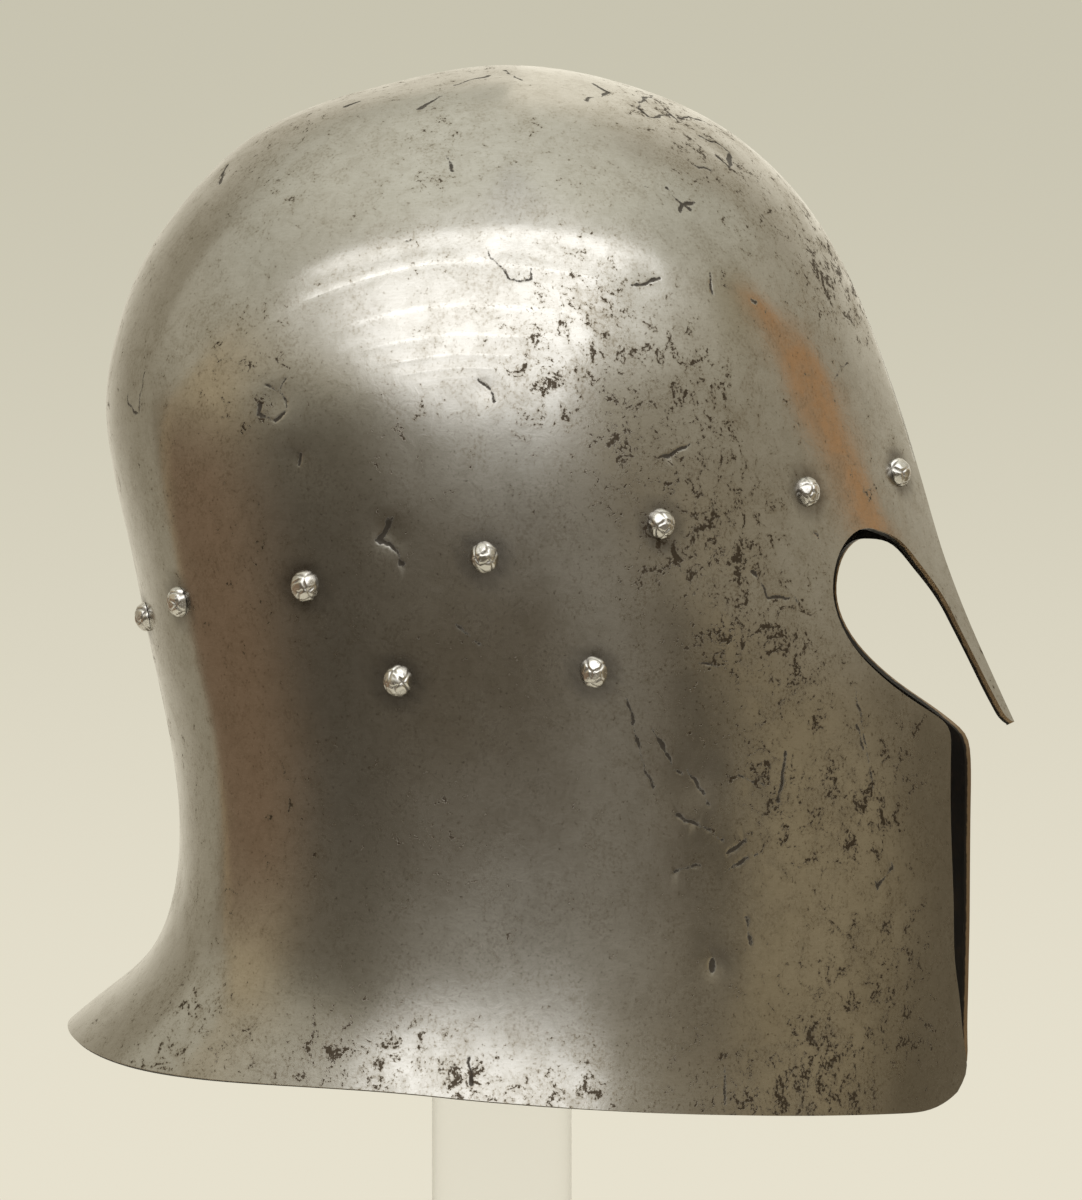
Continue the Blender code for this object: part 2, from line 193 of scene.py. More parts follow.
def find(wanted, axes, guess, nasal=False):
    """Stations (around, level) whose two named coordinates are the wanted ones, by
    Newton's method: step along the slope until the difference is gone."""
    place = np.array(guess, float) * np.ones((len(wanted), 2))
    wanted = np.array(wanted, float)
    nudge = 1e-5

    def read(at):
        point = dict(zip("xyz", face(at[:, 0], at[:, 1], nasal)))
        return np.stack([point[axis] for axis in axes], axis=1)

    for _ in range(40):
        here = read(place)
        slope = np.stack([(read(place + shift) - here) / nudge for shift in np.eye(2) * nudge], axis=2)
        step = np.linalg.solve(slope, (wanted - here)[..., None])[..., 0]
        step *= np.minimum(1, 0.03 / np.maximum(np.abs(step).max(axis=1), 1e-9))[:, None]
        place = np.clip(place + step, 1e-4, 0.9999)
    return place


print("the side at mid height:", [round(float(v), 1) for v in face(0.5, 0.4)])

# %% [markdown]
# The face opening is cut by its border, given as it looks from the side.  The two
# cheeks were trimmed by hand: the wearer's right one ends about 5 mm further back.

# %% Borders of the face opening
RIGHT_EYE = (
    (-100.0, 152.3), (-96.9, 151.8), (-93.3, 148.5), (-90.9, 143.3),
    (-90.0, 136.0), (-91.2, 129.5), (-94.3, 123.0), (-99.5, 116.5),
    (-107.4, 109.6), (-116.0, 103.6),
)
LEFT_EYE = (  # cut about a millimetre smaller than the right one
    (-100.3, 150.8), (-97.4, 150.3), (-94.1, 147.5), (-91.9, 142.8),
    (-91.0, 136.0), (-92.1, 129.9), (-95.1, 123.8), (-100.1, 117.6),
    (-107.9, 110.8), (-116.5, 104.8),
)
RIGHT_CHEEK = (
    (-119.6, 100.9), (-121.2, 98.3), (-121.5, 92.0), (-121.5, 75.0),
    (-122.1, 50.0), (-122.6, 36.0), (-123.8, 27.0), (-125.2, 15.0),
    (-125.9, 7.0), (-123.4, 1.6),
)
LEFT_CHEEK = (
    (-122.6, 100.2), (-126.0, 96.6), (-127.2, 91.0), (-127.4, 75.0),
    (-127.3, 50.0), (-127.0, 36.0), (-126.8, 27.0), (-126.6, 15.0),
    (-126.2, 7.0), (-123.4, 1.6),
)
NASAL_EDGE = (  # half width and height, from the eye down to the tip
    (20.6, 149.3), (14.2, 143.5), (10.6, 139.0), (7.6, 133.5),
    (6.2, 127.0), (5.1, 119.0), (4.4, 111.0), (3.6, 104.6),
)
NASAL_TIP_Z = 100.6
BROW_AT_KEEL, BROW_AT_BACK = 0.472, 0.503  # levels that both halves' brow lines end at

KEEL_COLUMNS = 20  # from the keel to the top of the eye
SIDE_COLUMNS = 106  # from there to the middle of the back
CROWN_ROWS = 76
NASAL_ROWS = 34
CHEEK_ROWS = 56
STATION_SPAN = (300, 320)  # millimetres from 0 to 1 of a station, around and up


def along(points, steps):
    """Even stations along a batten through the points.  The knots are spaced by the
    square root of the distance, which keeps the curve tight on its bends."""
    points = np.array(points, float)
    gaps = np.hypot(*(np.diff(points, axis=0) * STATION_SPAN).T)
    knots = np.concatenate([[0.0], np.cumsum(gaps**0.5)])
    at = np.linspace(0, knots[-1], steps + 1)
    return np.stack([batten(knots, points[:, k], at) for k in (0, 1)], axis=1)


def coons(top, bottom, front, back, hurry=1):
    """Fill a four-sided field from its borders: the blend of top and bottom, plus the
    blend of front and back, minus the blend of the four corners.  With hurry above 1
    the shape of the top border dies away sooner, as (1 - down) ^ hurry."""
    down = 1 - np.linspace(1, 0, len(front))[:, None, None] ** hurry
    across = np.linspace(0, 1, len(top))[None, :, None]
    rows = (1 - down) * top[None] + down * bottom[None]
    columns = (1 - across) * front[:, None] + across * back[:, None]
    corners = (1 - down) * ((1 - across) * top[0] + across * top[-1])
    corners = corners + down * ((1 - across) * bottom[0] + across * bottom[-1])
    return rows + columns - corners


def half_fields(eye, cheek):
    """Stations of the crown, nasal and cheek fields of one half.  They share their
    borders, so they weld into one sheet with a hole for the eye between them.  From
    the top of the eye the brow line runs to its two end levels as 1 - exp(-distance),
    scaled so that it arrives exactly."""
    edge = np.concatenate([find(eye, "yz", (0.10, 0.36)), find(cheek, "yz", (0.03, 0.15))])
    eye_top = edge[0]
    nasal = find(NASAL_EDGE, "xz", (0.02, 0.36), nasal=True)
    tip = find([(0.6, NASAL_TIP_Z)], "xz", (0.01, 0.29), nasal=True)[0]
    tip[0] = 0.0
    front_line = along(edge, CHEEK_ROWS)
    nasal_line = along(np.concatenate([[eye_top], nasal]), NASAL_ROWS)

    fore = np.linspace(0, eye_top[0], KEEL_COLUMNS + 1)
    aft = eye_top[0] + (1 - eye_top[0]) * np.linspace(0, 1, SIDE_COLUMNS + 1)
    rise_fore = (1 - np.exp((fore - eye_top[0]) / 0.02)) / (1 - np.exp(-eye_top[0] / 0.02))
    rise_aft = (1 - np.exp((eye_top[0] - aft) / 0.04)) / (1 - np.exp((eye_top[0] - 1) / 0.04))
    brow_fore = np.stack([fore, eye_top[1] + (BROW_AT_KEEL - eye_top[1]) * rise_fore], axis=1)
    brow_aft = np.stack([aft, eye_top[1] + (BROW_AT_BACK - eye_top[1]) * rise_aft], axis=1)
    brow = np.concatenate([brow_fore, brow_aft[1:]])
    top = np.stack([np.linspace(0, 1, len(brow)), np.ones(len(brow))], axis=1)
    rise = np.linspace(1, 0, CROWN_ROWS + 1)
    keel = np.stack([0 * rise, brow[0, 1] + (1 - brow[0, 1]) * rise], axis=1)
    back = np.stack([0 * rise + 1, brow[-1, 1] + (1 - brow[-1, 1]) * rise], axis=1)
    crown = coons(top, brow, keel, back)

    drop = np.linspace(0, 1, NASAL_ROWS + 1)[:, None]
    bite = np.linspace(0, 1, KEEL_COLUMNS + 1)
    end = np.stack([
        nasal_line[-1, 0] * bite,
        tip[1] + (nasal_line[-1, 1] - tip[1]) * (1 - np.sqrt(1 - bite**2)),
    ], axis=1)
    nose = coons(brow_fore, end, (1 - drop) * brow_fore[0] + drop * tip, nasal_line)

    drop = np.linspace(0, 1, CHEEK_ROWS + 1)
    back = np.stack([0 * drop + 1, brow_aft[-1, 1] * (1 - drop)], axis=1)
    sweep = front_line[-1, 0] + (1 - front_line[-1, 0]) * np.linspace(0, 1, SIDE_COLUMNS + 1) ** 1.25
    round_off = np.clip(1 - (sweep - sweep[0]) / 0.045, 0, None) ** 3
    rim = np.stack([sweep, front_line[-1, 1] * round_off], axis=1)
    side = coons(brow_aft, rim, front_line, back, hurry=6)
    return (crown, False), (nose, True), (side, False)


right_fields = half_fields(RIGHT_EYE, RIGHT_CHEEK)
print("rows and columns of the fields:", [grid.shape[:2] for grid, _ in right_fields])

# %% [markdown]
# A hammered plate is never quite true.  Under a long soft light the bowl shows
# shallow waves left by the planishing hammer.  They are far too shallow to see in
# outline but they bend every reflection, so they belong in the mesh.  The waves
# only ever sink into the plate, so the helmet doesn't grow.

# %% Waves left by the planishing hammer
WAVES = 60
WAVE_DEPTH = 0.16  # typical depth in millimetres
chance = np.random.default_rng(1460)
wave_length = chance.uniform(17, 60, WAVES)
heading = chance.normal(size=(WAVES, 3))
heading /= np.linalg.norm(heading, axis=1, keepdims=True)
start = chance.uniform(0, 2 * np.pi, WAVES)

DENTS = np.array((  # centre x, y, z, radius and depth: round the flaws, then a few more
    (-92, 50, 184, 5.5, 0.30), (-99, 20, 150, 4.0, 0.45), (-95, 44, 169, 3.0, 0.20),
    (-34, -28, 267, 7.0, 0.40), (-30, -46, 263, 7.0, 0.35), (-32, -60, 252, 4.5, 0.50),
    (-60, -51, 236, 3.5, 0.30), (-91, -9, 217, 5.5, 0.30), (-80, -43, 213, 5.0, 0.25),
    (-99, -4, 186, 3.5, 0.25), (-60, 91, 186, 5.0, 0.25), (-38, 72, 246, 5.0, 0.30),
    (-50, 15, 263, 4.5, 0.25), (-30, -2, 272, 6.0, 0.25), (-77, -60, 41, 3.5, 0.30),
    (-74, -72, 138, 6.0, 0.25), (-80, -55, 88, 7.0, 0.30), (-69, -68, 84, 5.0, 0.25),
    (70, -60, 205, 6.0, 0.40), (92, 30, 160, 5.0, 0.35), (84, -45, 90, 6.0, 0.35),
    (60, 85, 150, 6.0, 0.35), (30, -30, 268, 6.0, 0.35), (45, -95, 60, 5.0, 0.30),
    (20, 98, 120, 6.0, 0.35), (-40, 80, 60, 6.0, 0.30), (75, 40, 228, 7.0, 0.35),
))


def hammered(points):
    """How far the plate sinks at each point: a sum of cosine waves of many lengths and
    headings, each as high as it is long, shifted so that it never rises, and for each
    dent depth * exp(-(distance / radius)^2)."""
    swell = np.cos(points @ (2 * np.pi * heading / wave_length[:, None]).T + start)
    swell = (swell * wave_length).sum(axis=1) / np.sqrt((wave_length**2).sum() / 2)
    far = np.linalg.norm(points[:, None] - DENTS[:, :3], axis=2) / DENTS[:, 3]
    dents = (DENTS[:, 4] * np.exp(-(far**2))).sum(axis=1)
    return WAVE_DEPTH * np.clip(swell + 2.4, 0, None) / 2 + dents


print("sink of the plate at the crown:", hammered(np.array([[0.0, 0.0, CROWN_Z]])).round(2), "mm")

# %% [markdown]
# Besides the waves there are flaws of the forging, folds and slivers that never
# welded and show as cracks, and the scratches of a long life.  Each is a bent line
# through a few places, carved into the plate by its distance from the line.

# %% Cracks, folds and scratches
FLAWS = (  # half width, then the places that the line runs through
    (0.27, (-92, 47.5, 189), (-93, 48.6, 186), (-93, 47.3, 183.4), (-94, 47.2, 180.4), (-93, 49.4, 178.3),
     (-91, 54.1, 180.1), (-91, 54.1, 182.8)),
    (0.18, (-93, 48.6, 186), (-91, 51.9, 187)),
    (0.55, (-100, 19.1, 154), (-100, 20.8, 152.5), (-99, 21.3, 149.6), (-99, 23, 148.1), (-99, 19.9, 146.9),
     (-99, 17.4, 142.8)),
    (0.41, (-95, 43.3, 169.6), (-95, 43.8, 167.5)),
    (0.15, (-63, 88.1, 192.3), (-62, 89.9, 186.4), (-62, 89.7, 181.3), (-59, 91.5, 181.9), (-56, 93.3, 184),
     (-55, 94, 187)),
    (0.37, (-28, -26.6, 270.6), (-32, -30.8, 267.8), (-43, -25.4, 264.3)),
    (0.33, (-18, -42, 268), (-32, -39, 265), (-37, -39.4, 262.5), (-39, -41.6, 260.6), (-36, -44.3, 260.7),
     (-29, -47, 262.5), (-30, -49, 261), (-22, -51.6, 262.5), (-17, -57, 260.6)),
    (0.48, (-32, -55, 256), (-29, -58, 255), (-28, -61, 253.3), (-28, -63, 251.8), (-35, -62.6, 248),
     (-36, -60, 250)),
    (0.37, (-61, -47.5, 239.4), (-61, -49.3, 237), (-61, -51.7, 235.5), (-58, -54.3, 236.2)),
    (0.30, (-61, -51.5, 235.5), (-63, -51, 233)),
    (0.22, (-61, -51.5, 235.5), (-60, -54, 234.2)),
    (0.22, (-65, -42, 239.4), (-64, -43.3, 239.2)),
    (0.15, (-47, -54.5, 246.9), (-44, -58.6, 245)),
    (0.33, (-52, 17.6, 261.2), (-47, 12.2, 265.3)),
    (0.26, (-39, 9, 269.3), (-31, 1, 272.6)),
    (0.26, (-25, -2.5, 274.5), (-36, -7.8, 270.8)),
    (0.44, (-34, 71, 248.6), (-43, 71.4, 243)),
    (0.30, (-40, 38, 263.4), (-39, 34.4, 265)),
    (0.16, (-70, 8.6, 246.9), (-74, 6.6, 243.2)),
    (0.13, (-89, -3.4, 220.7), (-90, -4.7, 218.5), (-91, -7.9, 216.5), (-92, -9, 214.3), (-92, -12, 213.4),
     (-91, -14.7, 214.3), (-90, -14.6, 216.8)),
    (0.22, (-82, -39.3, 212.5), (-77, -46.2, 214.8)),
    (0.26, (-66, -58.5, 216.8), (-68, -59.2, 211.1)),
    (0.19, (-99, -2.4, 188.2), (-99, -4.6, 186.1), (-100, -6.6, 182.8)),
    (0.18, (-87, 17.8, 223.7), (-87, 16.4, 224.3)),
    (0.18, (-25, -94, 196), (-29, -92, 195), (-31, -91.7, 192.9), (-34, -90, 191.5)),
    (0.22, (-86, -46.3, 169), (-80, -54.5, 172.6)),
    (0.22, (-58, -69, 210.5), (-56, -70, 210)),
    (0.22, (-52, -85, 151.5), (-51, -86, 149)),
    (0.19, (-89, -38.4, 109.5), (-87, -42, 94), (-85, -45, 86)),
    (0.26, (-70, -69.7, 141), (-67, -74, 134.3), (-60, -81, 133.4)),
    (0.26, (-81, -56.7, 117.7), (-78, -61, 116.5)),
    (0.22, (-74, -65.6, 89.3), (-69, -72.5, 85.8)),
    (0.22, (-66, -75.9, 81.8), (-65, -78, 94.7)),
    (0.33, (-86, -45, 101), (-83, -50.5, 90.4), (-82, -52.3, 89.7)),
    (0.33, (-81, -53.7, 90.3), (-78, -59.4, 81.7)),
    (0.30, (-82, -50.6, 79), (-79, -57.6, 76), (-75, -62.7, 72)),
    (0.31, (-75, -63.5, 69), (-72, -68, 72)),
    (0.31, (-74, -64, 65.5), (-70, -71, 68.8)),
    (0.30, (-82, -50, 65), (-79, -57, 66.3)),
    (0.16, (-47, -96, 111), (-46, -97.6, 101.6), (-43, -100.3, 84.5)),
    (0.33, (-47, -96.4, 100.7), (-46, -98, 94.5)),
    (0.26, (-37, -106, 63.6), (-42, -101.7, 58.2)),
    (0.63, (-77, -59.7, 42.1), (-77, -59.6, 39.8)),
    (0.18, (-77, -63, 15.2), (-78, -62.6, 5.9)),
    (0.37, (-99, 0.1, 19.2), (-100, -0.3, 12.6)),
    (0.30, (-72, -68, 52.8), (-71, -69.5, 46)),
    (0.13, (-99, 3.8, 127.3), (-98, -2.5, 122.2)),
    (0.30, (80, -48, 200), (78, -52, 196), (80, -50, 191), (84, -44, 189)),
    (0.37, (97, 30, 162), (98, 27, 157), (98, 31, 153)),
    (0.26, (88, -40, 96), (84, -47, 90), (80, -54, 88)),
    (0.26, (60, 82, 155), (64, 79, 149), (62, 80, 143)),
    (0.22, (20, 103, 200), (14, 105, 192), (18, 104, 186)),
    (0.22, (88, -35, 60), (82, -48, 52), (76, -60, 50)),
)
FLAW_DEPTH = 0.15
NO_FLAW = 90.0  # a distance that stands for no flaw anywhere near
RAGS = 14  # short waves that make the cracks ragged
rag_length = chance.uniform(2.2, 8.0, RAGS)
rag_heading = chance.normal(size=(RAGS, 3))
rag_heading /= np.linalg.norm(rag_heading, axis=1, keepdims=True)
rag_shift = chance.normal(size=(RAGS, 3)) * 0.10


def flaw_distance(points, out):
    """Distance in millimetres to the nearest flaw's edge, below 0 inside it.  From a to b
    the nearest place is a + t * (b - a), t = (p - a) . (b - a) / |b - a|^2 kept in 0..1.
    Distance straight out of the plate counts a fifth, as a line cuts the corners.  The
    points are first shaken by short waves so that no crack runs quite straight, and
    the same waves widen and narrow it."""
    phase = points @ (2 * np.pi * rag_heading / rag_length[:, None]).T
    shaken = points + np.cos(phase) @ rag_shift
    ragged = 0.9 + 0.32 * np.sin(phase[:, :6]).sum(axis=1)
    nearest = np.full(len(points), NO_FLAW)
    for half, *corners in FLAWS:
        corners = np.array(corners, float)
        for a, b in zip(corners, corners[1:]):
            run = b - a
            share = np.clip((shaken - a) @ run / (run @ run), 0, 1)
            apart = shaken - a - share[:, None] * run
            apart = apart - 0.8 * (apart * out).sum(axis=1, keepdims=True) * out
            width = half * np.clip(ragged, -0.1, 1.7)
            nearest = np.minimum(nearest, np.linalg.norm(apart, axis=1) - width)
    return nearest


def ease_in(value, low, high):
    """0 below low, 1 above high, 3 t^2 - 2 t^3 between them."""
    t = np.clip((value - low) / (high - low), 0, 1)
    return t * t * (3 - 2 * t)


print(len(FLAWS), "flaws with", sum(len(flaw) - 2 for flaw in FLAWS), "straight parts")

# %% [markdown]
# Under the polish the steel is pitted where it once rusted: on the cheeks, on the
# brow and along the rim.  Those places are kept as a number at every point of the
# plate, and so is the darkening around the rivets, grime and painted shade together.

# %% Where rust and grime had settled, and the painted shade around the rivets
RUST_PATCHES = (  # centre x, y, z, radius, weight: the wearer's right side first
    (-88, -28, 192, 30, 1.0), (-84, -48, 172, 34, 1.1), (-80, -58, 147, 34, 1.0),
    (-74, -72, 120, 34, 1.1), (-66, -84, 92, 34, 0.9), (-50, -104, 84, 34, 1.0),
    (-45, -108, 30, 36, 1.1), (-60, -95, 6, 30, 1.4), (-80, -60, 4, 28, 1.1),
    (-93, -30, 2, 26, 1.1), (-98, 0, 6, 24, 0.9), (-95, 30, 9, 28, 1.1),
    (-80, 75, 17, 28, 0.7), (-30, -60, 258, 36, 1.0), (-20, -92, 225, 32, 1.1),
    (-10, 20, 276, 34, 0.7), (-45, 60, 252, 28, 0.5), (-88, 60, 190, 20, 0.5),
    (86, -30, 185, 34, 0.9), (80, -60, 120, 40, 0.9), (60, -95, 60, 36, 1.0),
    (60, -95, 10, 30, 1.1), (95, 25, 8, 34, 0.9), (70, 70, 120, 26, 0.6),
    (20, 95, 180, 30, 0.7), (-20, 98, 110, 34, 0.6), (25, -80, 240, 36, 0.9),
)
RIVET_NODES = sorted(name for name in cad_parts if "_rivet_" in name)
RIVET_PLACES = np.array([np.mean(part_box(node), axis=0) / MM - (0, 0, LIFT) for node in RIVET_NODES])


def plate_marks(points, away):
    """Three numbers per point: rust is the largest patch weight, fading from the middle
    of a patch to 1.25 radii; the darkening around the rivets, grime and painted shade
    together, is whole up to 4.2 mm from a rivet and gone at 8.5 mm; flaw is the
    distance to the edge of the nearest flaw, below 0 inside it."""
    patches = np.array(RUST_PATCHES, float)
    far = np.linalg.norm(points[:, None] - patches[:, :3], axis=2) / patches[:, 3]
    rust = (ease_in(far, 1.25, 0.3) * patches[:, 4]).max(axis=1)
    rivet = np.linalg.norm(points[:, None] - RIVET_PLACES, axis=2).min(axis=1)
    return {"rust": rust, "grime": ease_in(rivet, 8.5, 4.2), "flaw": np.clip(away, -1.0, 1.5)}


print(len(RUST_PATCHES), "patches of old rust and", len(RIVET_PLACES), "rivets with grime")

# %% [markdown]
# Each field becomes a grid of points and quads in one go.  The plate needs a second
# face inside.  Solidify could make it, but its even thickness blows up on the thin
# cells beside the eye, so the inner face is worked out too: the same grid, moved
# in by 2 mm along the true normal, with a mitre at the keel.  Every edge that has a
# face on one side only is then a cut edge, and gets a wall between the two faces.
#
# A crack is thinner than a cell, so the cells near a flaw are split six ways across
# and six ways down.  A cell beside them takes the extra points into its border, which
# keeps the plate closed.

# %% Grids to one plate
def grid_quads(rows, columns, start=0, flip=False):
    """Corners of every cell of a grid of points that is numbered row by row."""
    index = start + np.arange(rows * columns).reshape(rows, columns)
    quads = np.stack([index[:-1, :-1], index[:-1, 1:], index[1:, 1:], index[1:, :-1]], axis=-1)
    quads = quads.reshape(-1, 4)
    return quads[:, ::-1] if flip else quads


def body_of(name, points, faces, weld, finish=None, marks=None):
    """A closed body in metres from points in millimetres, with equal points made one.
    Faces are arrays of point numbers, one row a face, finish is the material number of
    each array, and marks are numbers per point that the materials read by name."""
    mesh = bpy.data.meshes.new(name)
    rows = [row for block in faces for row in block.tolist()]
    mesh.from_pydata(((points + (0, 0, LIFT)) * MM).tolist(), [], rows)
    if finish is not None:
        mesh.polygons.foreach_set("material_index", np.repeat(finish, [len(block) for block in faces]))
    for mark, values in (marks or {}).items():
        mesh.attributes.new(mark, "FLOAT", "POINT").data.foreach_set("value", values)
    work = bmesh.new()
    work.from_mesh(mesh)
    bmesh.ops.remove_doubles(work, verts=work.verts, dist=weld * MM)
    bmesh.ops.dissolve_degenerate(work, edges=work.edges, dist=weld * MM)
    bmesh.ops.recalc_face_normals(work, faces=work.faces)
    work.to_mesh(mesh)
    work.free()
    mesh.shade_smooth()
    made = bpy.data.objects.new(name, mesh)
    bpy.context.scene.collection.objects.link(made)
    return made


WITHIN = (0, 0, 60)  # a place inside the bowl that every outer face looks away from


def outward(stations, nasal, nudge=2e-4):
    """Direction straight out of the face: the cross product of its two slopes."""
    around = np.clip(stations[..., 0], nudge, 1 - nudge)
    level = np.clip(stations[..., 1], nudge, 1 - 3 * nudge)

    def spot(run, climb):
        return np.stack(face(around + run, level + climb, nasal), -1)

    out = np.cross(spot(nudge, 0) - spot(-nudge, 0), spot(0, nudge) - spot(0, -nudge))
    out /= np.linalg.norm(out, axis=-1, keepdims=True)
    return out * np.sign((out * (spot(0, 0) - WITHIN)).sum(-1))[..., None]


def mitred(out, stations):
    """On the middle plane the two halves' normals n meet in a fold.  Moving along
    n / |n|^2, with n's sideways part left out, keeps both walls equally thick."""
    middle = (stations[..., 0] < 1e-6) | (stations[..., 0] > 0.99999)
    flat = out * (0, 1, 1)
    flat /= (flat**2).sum(axis=-1, keepdims=True)
    out = np.where(middle[..., None], flat, out)
    return np.where(stations[..., 1:] > 0.9999, (0.0, 0.0, 1.0), out)


def cut_edges(points, quads):
    """Directed edges that no other face runs along the other way, by welded numbers.
    Returns the two ends of each in the grids' own numbers."""
    _, first, welded = np.unique(points.round(2), axis=0, return_index=True, return_inverse=True)
    welded = welded.ravel()
    ends = np.stack([quads, np.roll(quads, -1, axis=1)], axis=-1).reshape(-1, 2)
    pair = welded[ends]
    keep = pair[:, 0] != pair[:, 1]
    ends, pair = ends[keep], pair[keep]
    many = len(first)
    lonely = ~np.isin(pair[:, 0] * many + pair[:, 1], pair[:, 1] * many + pair[:, 0])
    return ends[lonely]


FINER = 6  # how many times a cell near a flaw is split, each way
NEAR_FLAW = 1.8  # millimetres from a flaw within which a cell is split


def on_face(stations, nasal, side):
    """Points of the true face at any stations, and the directions straight out."""
    spot = np.stack(face(stations[..., 0], stations[..., 1], nasal), axis=-1)
    spot[..., 0] = np.where(stations[..., 0] > 0.99999, 0.0, spot[..., 0])
    out = mitred(outward(stations, nasal), stations) * (side, 1, 1)
    return spot.reshape(-1, 3) * (side, 1, 1), out.reshape(-1, 3)


def fine_cells(fields, side):
    """Which cells of the three fields lie near a flaw, never at a cut edge or a fold."""
    masks = []
    for part, (stations, nasal) in enumerate(fields):
        middle = (stations[:-1, :-1] + stations[1:, :-1] + stations[:-1, 1:] + stations[1:, 1:]) / 4
        near = flaw_distance(*on_face(middle, nasal, side)) < NEAR_FLAW
        near = near.reshape(middle.shape[:2])
        near[:, [0, -1]] = False
        near[0 if part == 0 else -1] = False
        masks.append(near)
    return masks


def split_cells(stations, fine, above, below):
    """Stations and faces of the fine cells, and of the coarse cells that border on one:
    these become polygons with FINER - 1 more points on every shared side."""
    corner = [stations[:-1, :-1], stations[:-1, 1:], stations[1:, 1:], stations[1:, :-1]]
    share = np.linspace(0, 1, FINER + 1)
    a, b, c, d = (each[fine][:, None, None] for each in corner)
    across, down = share[None, None, :, None], share[None, :, None, None]
    grid = (1 - down) * ((1 - across) * a + across * b) + down * ((1 - across) * d + across * c)
    cell = grid_quads(FINER + 1, FINER + 1)
    number = np.arange(len(grid))[:, None, None] * (FINER + 1) ** 2
    places, faces, count = [grid.reshape(-1, 2)], [(cell + number).reshape(-1, 4)], grid.size // 2
    upright = np.concatenate([above[None], fine, below[None]])
    level = np.pad(fine, ((0, 0), (1, 1)))
    touching = (upright[:-2], level[:, 2:], upright[2:], level[:, :-2])
    pattern = sum(touched * 2**k for k, touched in enumerate(touching)) * ~fine
    for kind in np.unique(pattern[pattern > 0]):
        loop = []
        for k in range(4):
            start = corner[k][pattern == kind][:, None]
            end = corner[(k + 1) % 4][pattern == kind][:, None]
            steps = share[:-1] if kind >> k & 1 else share[:1]
            loop.append(start + (end - start) * steps[None, :, None])
        loop = np.concatenate(loop, axis=1)
        places.append(loop.reshape(-1, 2))
        faces.append(count + np.arange(loop.size // 2).reshape(loop.shape[:2]))
        count += loop.size // 2
    return np.concatenate(places), faces, pattern == 0


def skull_plate():
    """Both halves: stations to points, sunk by the waves and the flaws along the normal."""
    outer, inner, extra, quads, skin, more_faces = [], [], [], [], [], []
    count = more = 0  # points laid in the coarse grids and in the fine cells
    for side, eye, cheek in ((-1, RIGHT_EYE, RIGHT_CHEEK), (1, LEFT_EYE, LEFT_CHEEK)):
        fields = half_fields(eye, cheek)
        crown, nose, flank = fine_cells(fields, side)
        nothing = np.zeros(nose.shape[1] + flank.shape[1], bool)
        beside = (
            (nothing, np.concatenate([nose[0], flank[0]])),
            (crown[-1, :KEEL_COLUMNS], nothing[:KEEL_COLUMNS]),
            (crown[-1, KEEL_COLUMNS:], nothing[KEEL_COLUMNS:]),
        )
        for (stations, nasal), fine, (above, below) in zip(fields, (crown, nose, flank), beside):
            spot, out = on_face(stations, nasal, side)
            rows, columns = stations.shape[:2]
            sink = hammered(spot)[:, None]
            deep = (spot - out * (sink + PLATE)).reshape(rows, columns, 3)
            crossed = deep[..., :1] * side < 0  # past the fold: these join the keel's own line
            inner.append(np.where(crossed, deep[:, :1], deep).reshape(-1, 3))
            outer.append((spot, out))
            places, faces, plain = split_cells(stations, fine, above, below)
            extra.append(on_face(places, nasal, side))
            more_faces += [block + more for block in faces]
            more += len(places)
            cells = grid_quads(rows, columns, count, flip=side < 0)
            quads.append(cells)
            skin.append(cells[(plain & ~fine).ravel()])
            count += rows * columns
    spot, out = (np.concatenate(part) for part in zip(*outer, *extra))
    away = flaw_distance(spot, out)
    carved = FLAW_DEPTH * ease_in(away, 0.12, -0.30)
    spot = spot - out * (hammered(spot) + carved)[:, None]
    inner, quads = np.concatenate(inner), np.concatenate(quads)
    ends = cut_edges(spot[:count], quads)
    first = len(spot)
    wall = np.stack([ends[:, 1], ends[:, 0], ends[:, 0] + first, ends[:, 1] + first], axis=1)
    outside = [np.concatenate(skin)] + [block + count for block in more_faces]
    faces = outside + [quads[:, ::-1] + first, wall]
    finish = [0] * len(outside) + [1, 2]
    points = np.concatenate([spot, inner])
    marks = plate_marks(points, np.concatenate([away, np.full(len(inner), NO_FLAW)]))
    marks["skin"] = np.repeat([1.0, 0.0], [len(spot), len(inner)])
    print("cut edges:", len(ends), "and points in fine cells:", more)
    return body_of("skull_plate", points, faces, 0.02, finish, marks)


skull = skull_plate()
ease = skull.modifiers.new("eased edges", "BEVEL")
ease.width = 0.35 * MM
ease.segments = 2
ease.limit_method = "ANGLE"
ease.angle_limit = np.radians(45)
ease.harden_normals = True
print("the plate has", len(skull.data.vertices), "points and", len(skull.data.polygons), "faces")

# %% [markdown]
# The rivets held a lining band and a chin strap.  Their heads are small domes
# closed with a dozen hammer blows, so each has its own bumps with grooves between.
# A sphere primitive would look like a ball bearing; here a dome is creased wherever
# two blows meet, and a seeded draw makes every rivet different.

# %% Hammered rivets
HEAD, HEAD_RISE, SHANK, TAIL = 4.1, 3.4, 1.9, 3.0  # three radii and the dome's height
TAIL_DROP = PLATE + 0.75  # where the clenched end starts, below the outer face
BLOWS = 9  # one near the top, four around it and four at the foot of the dome


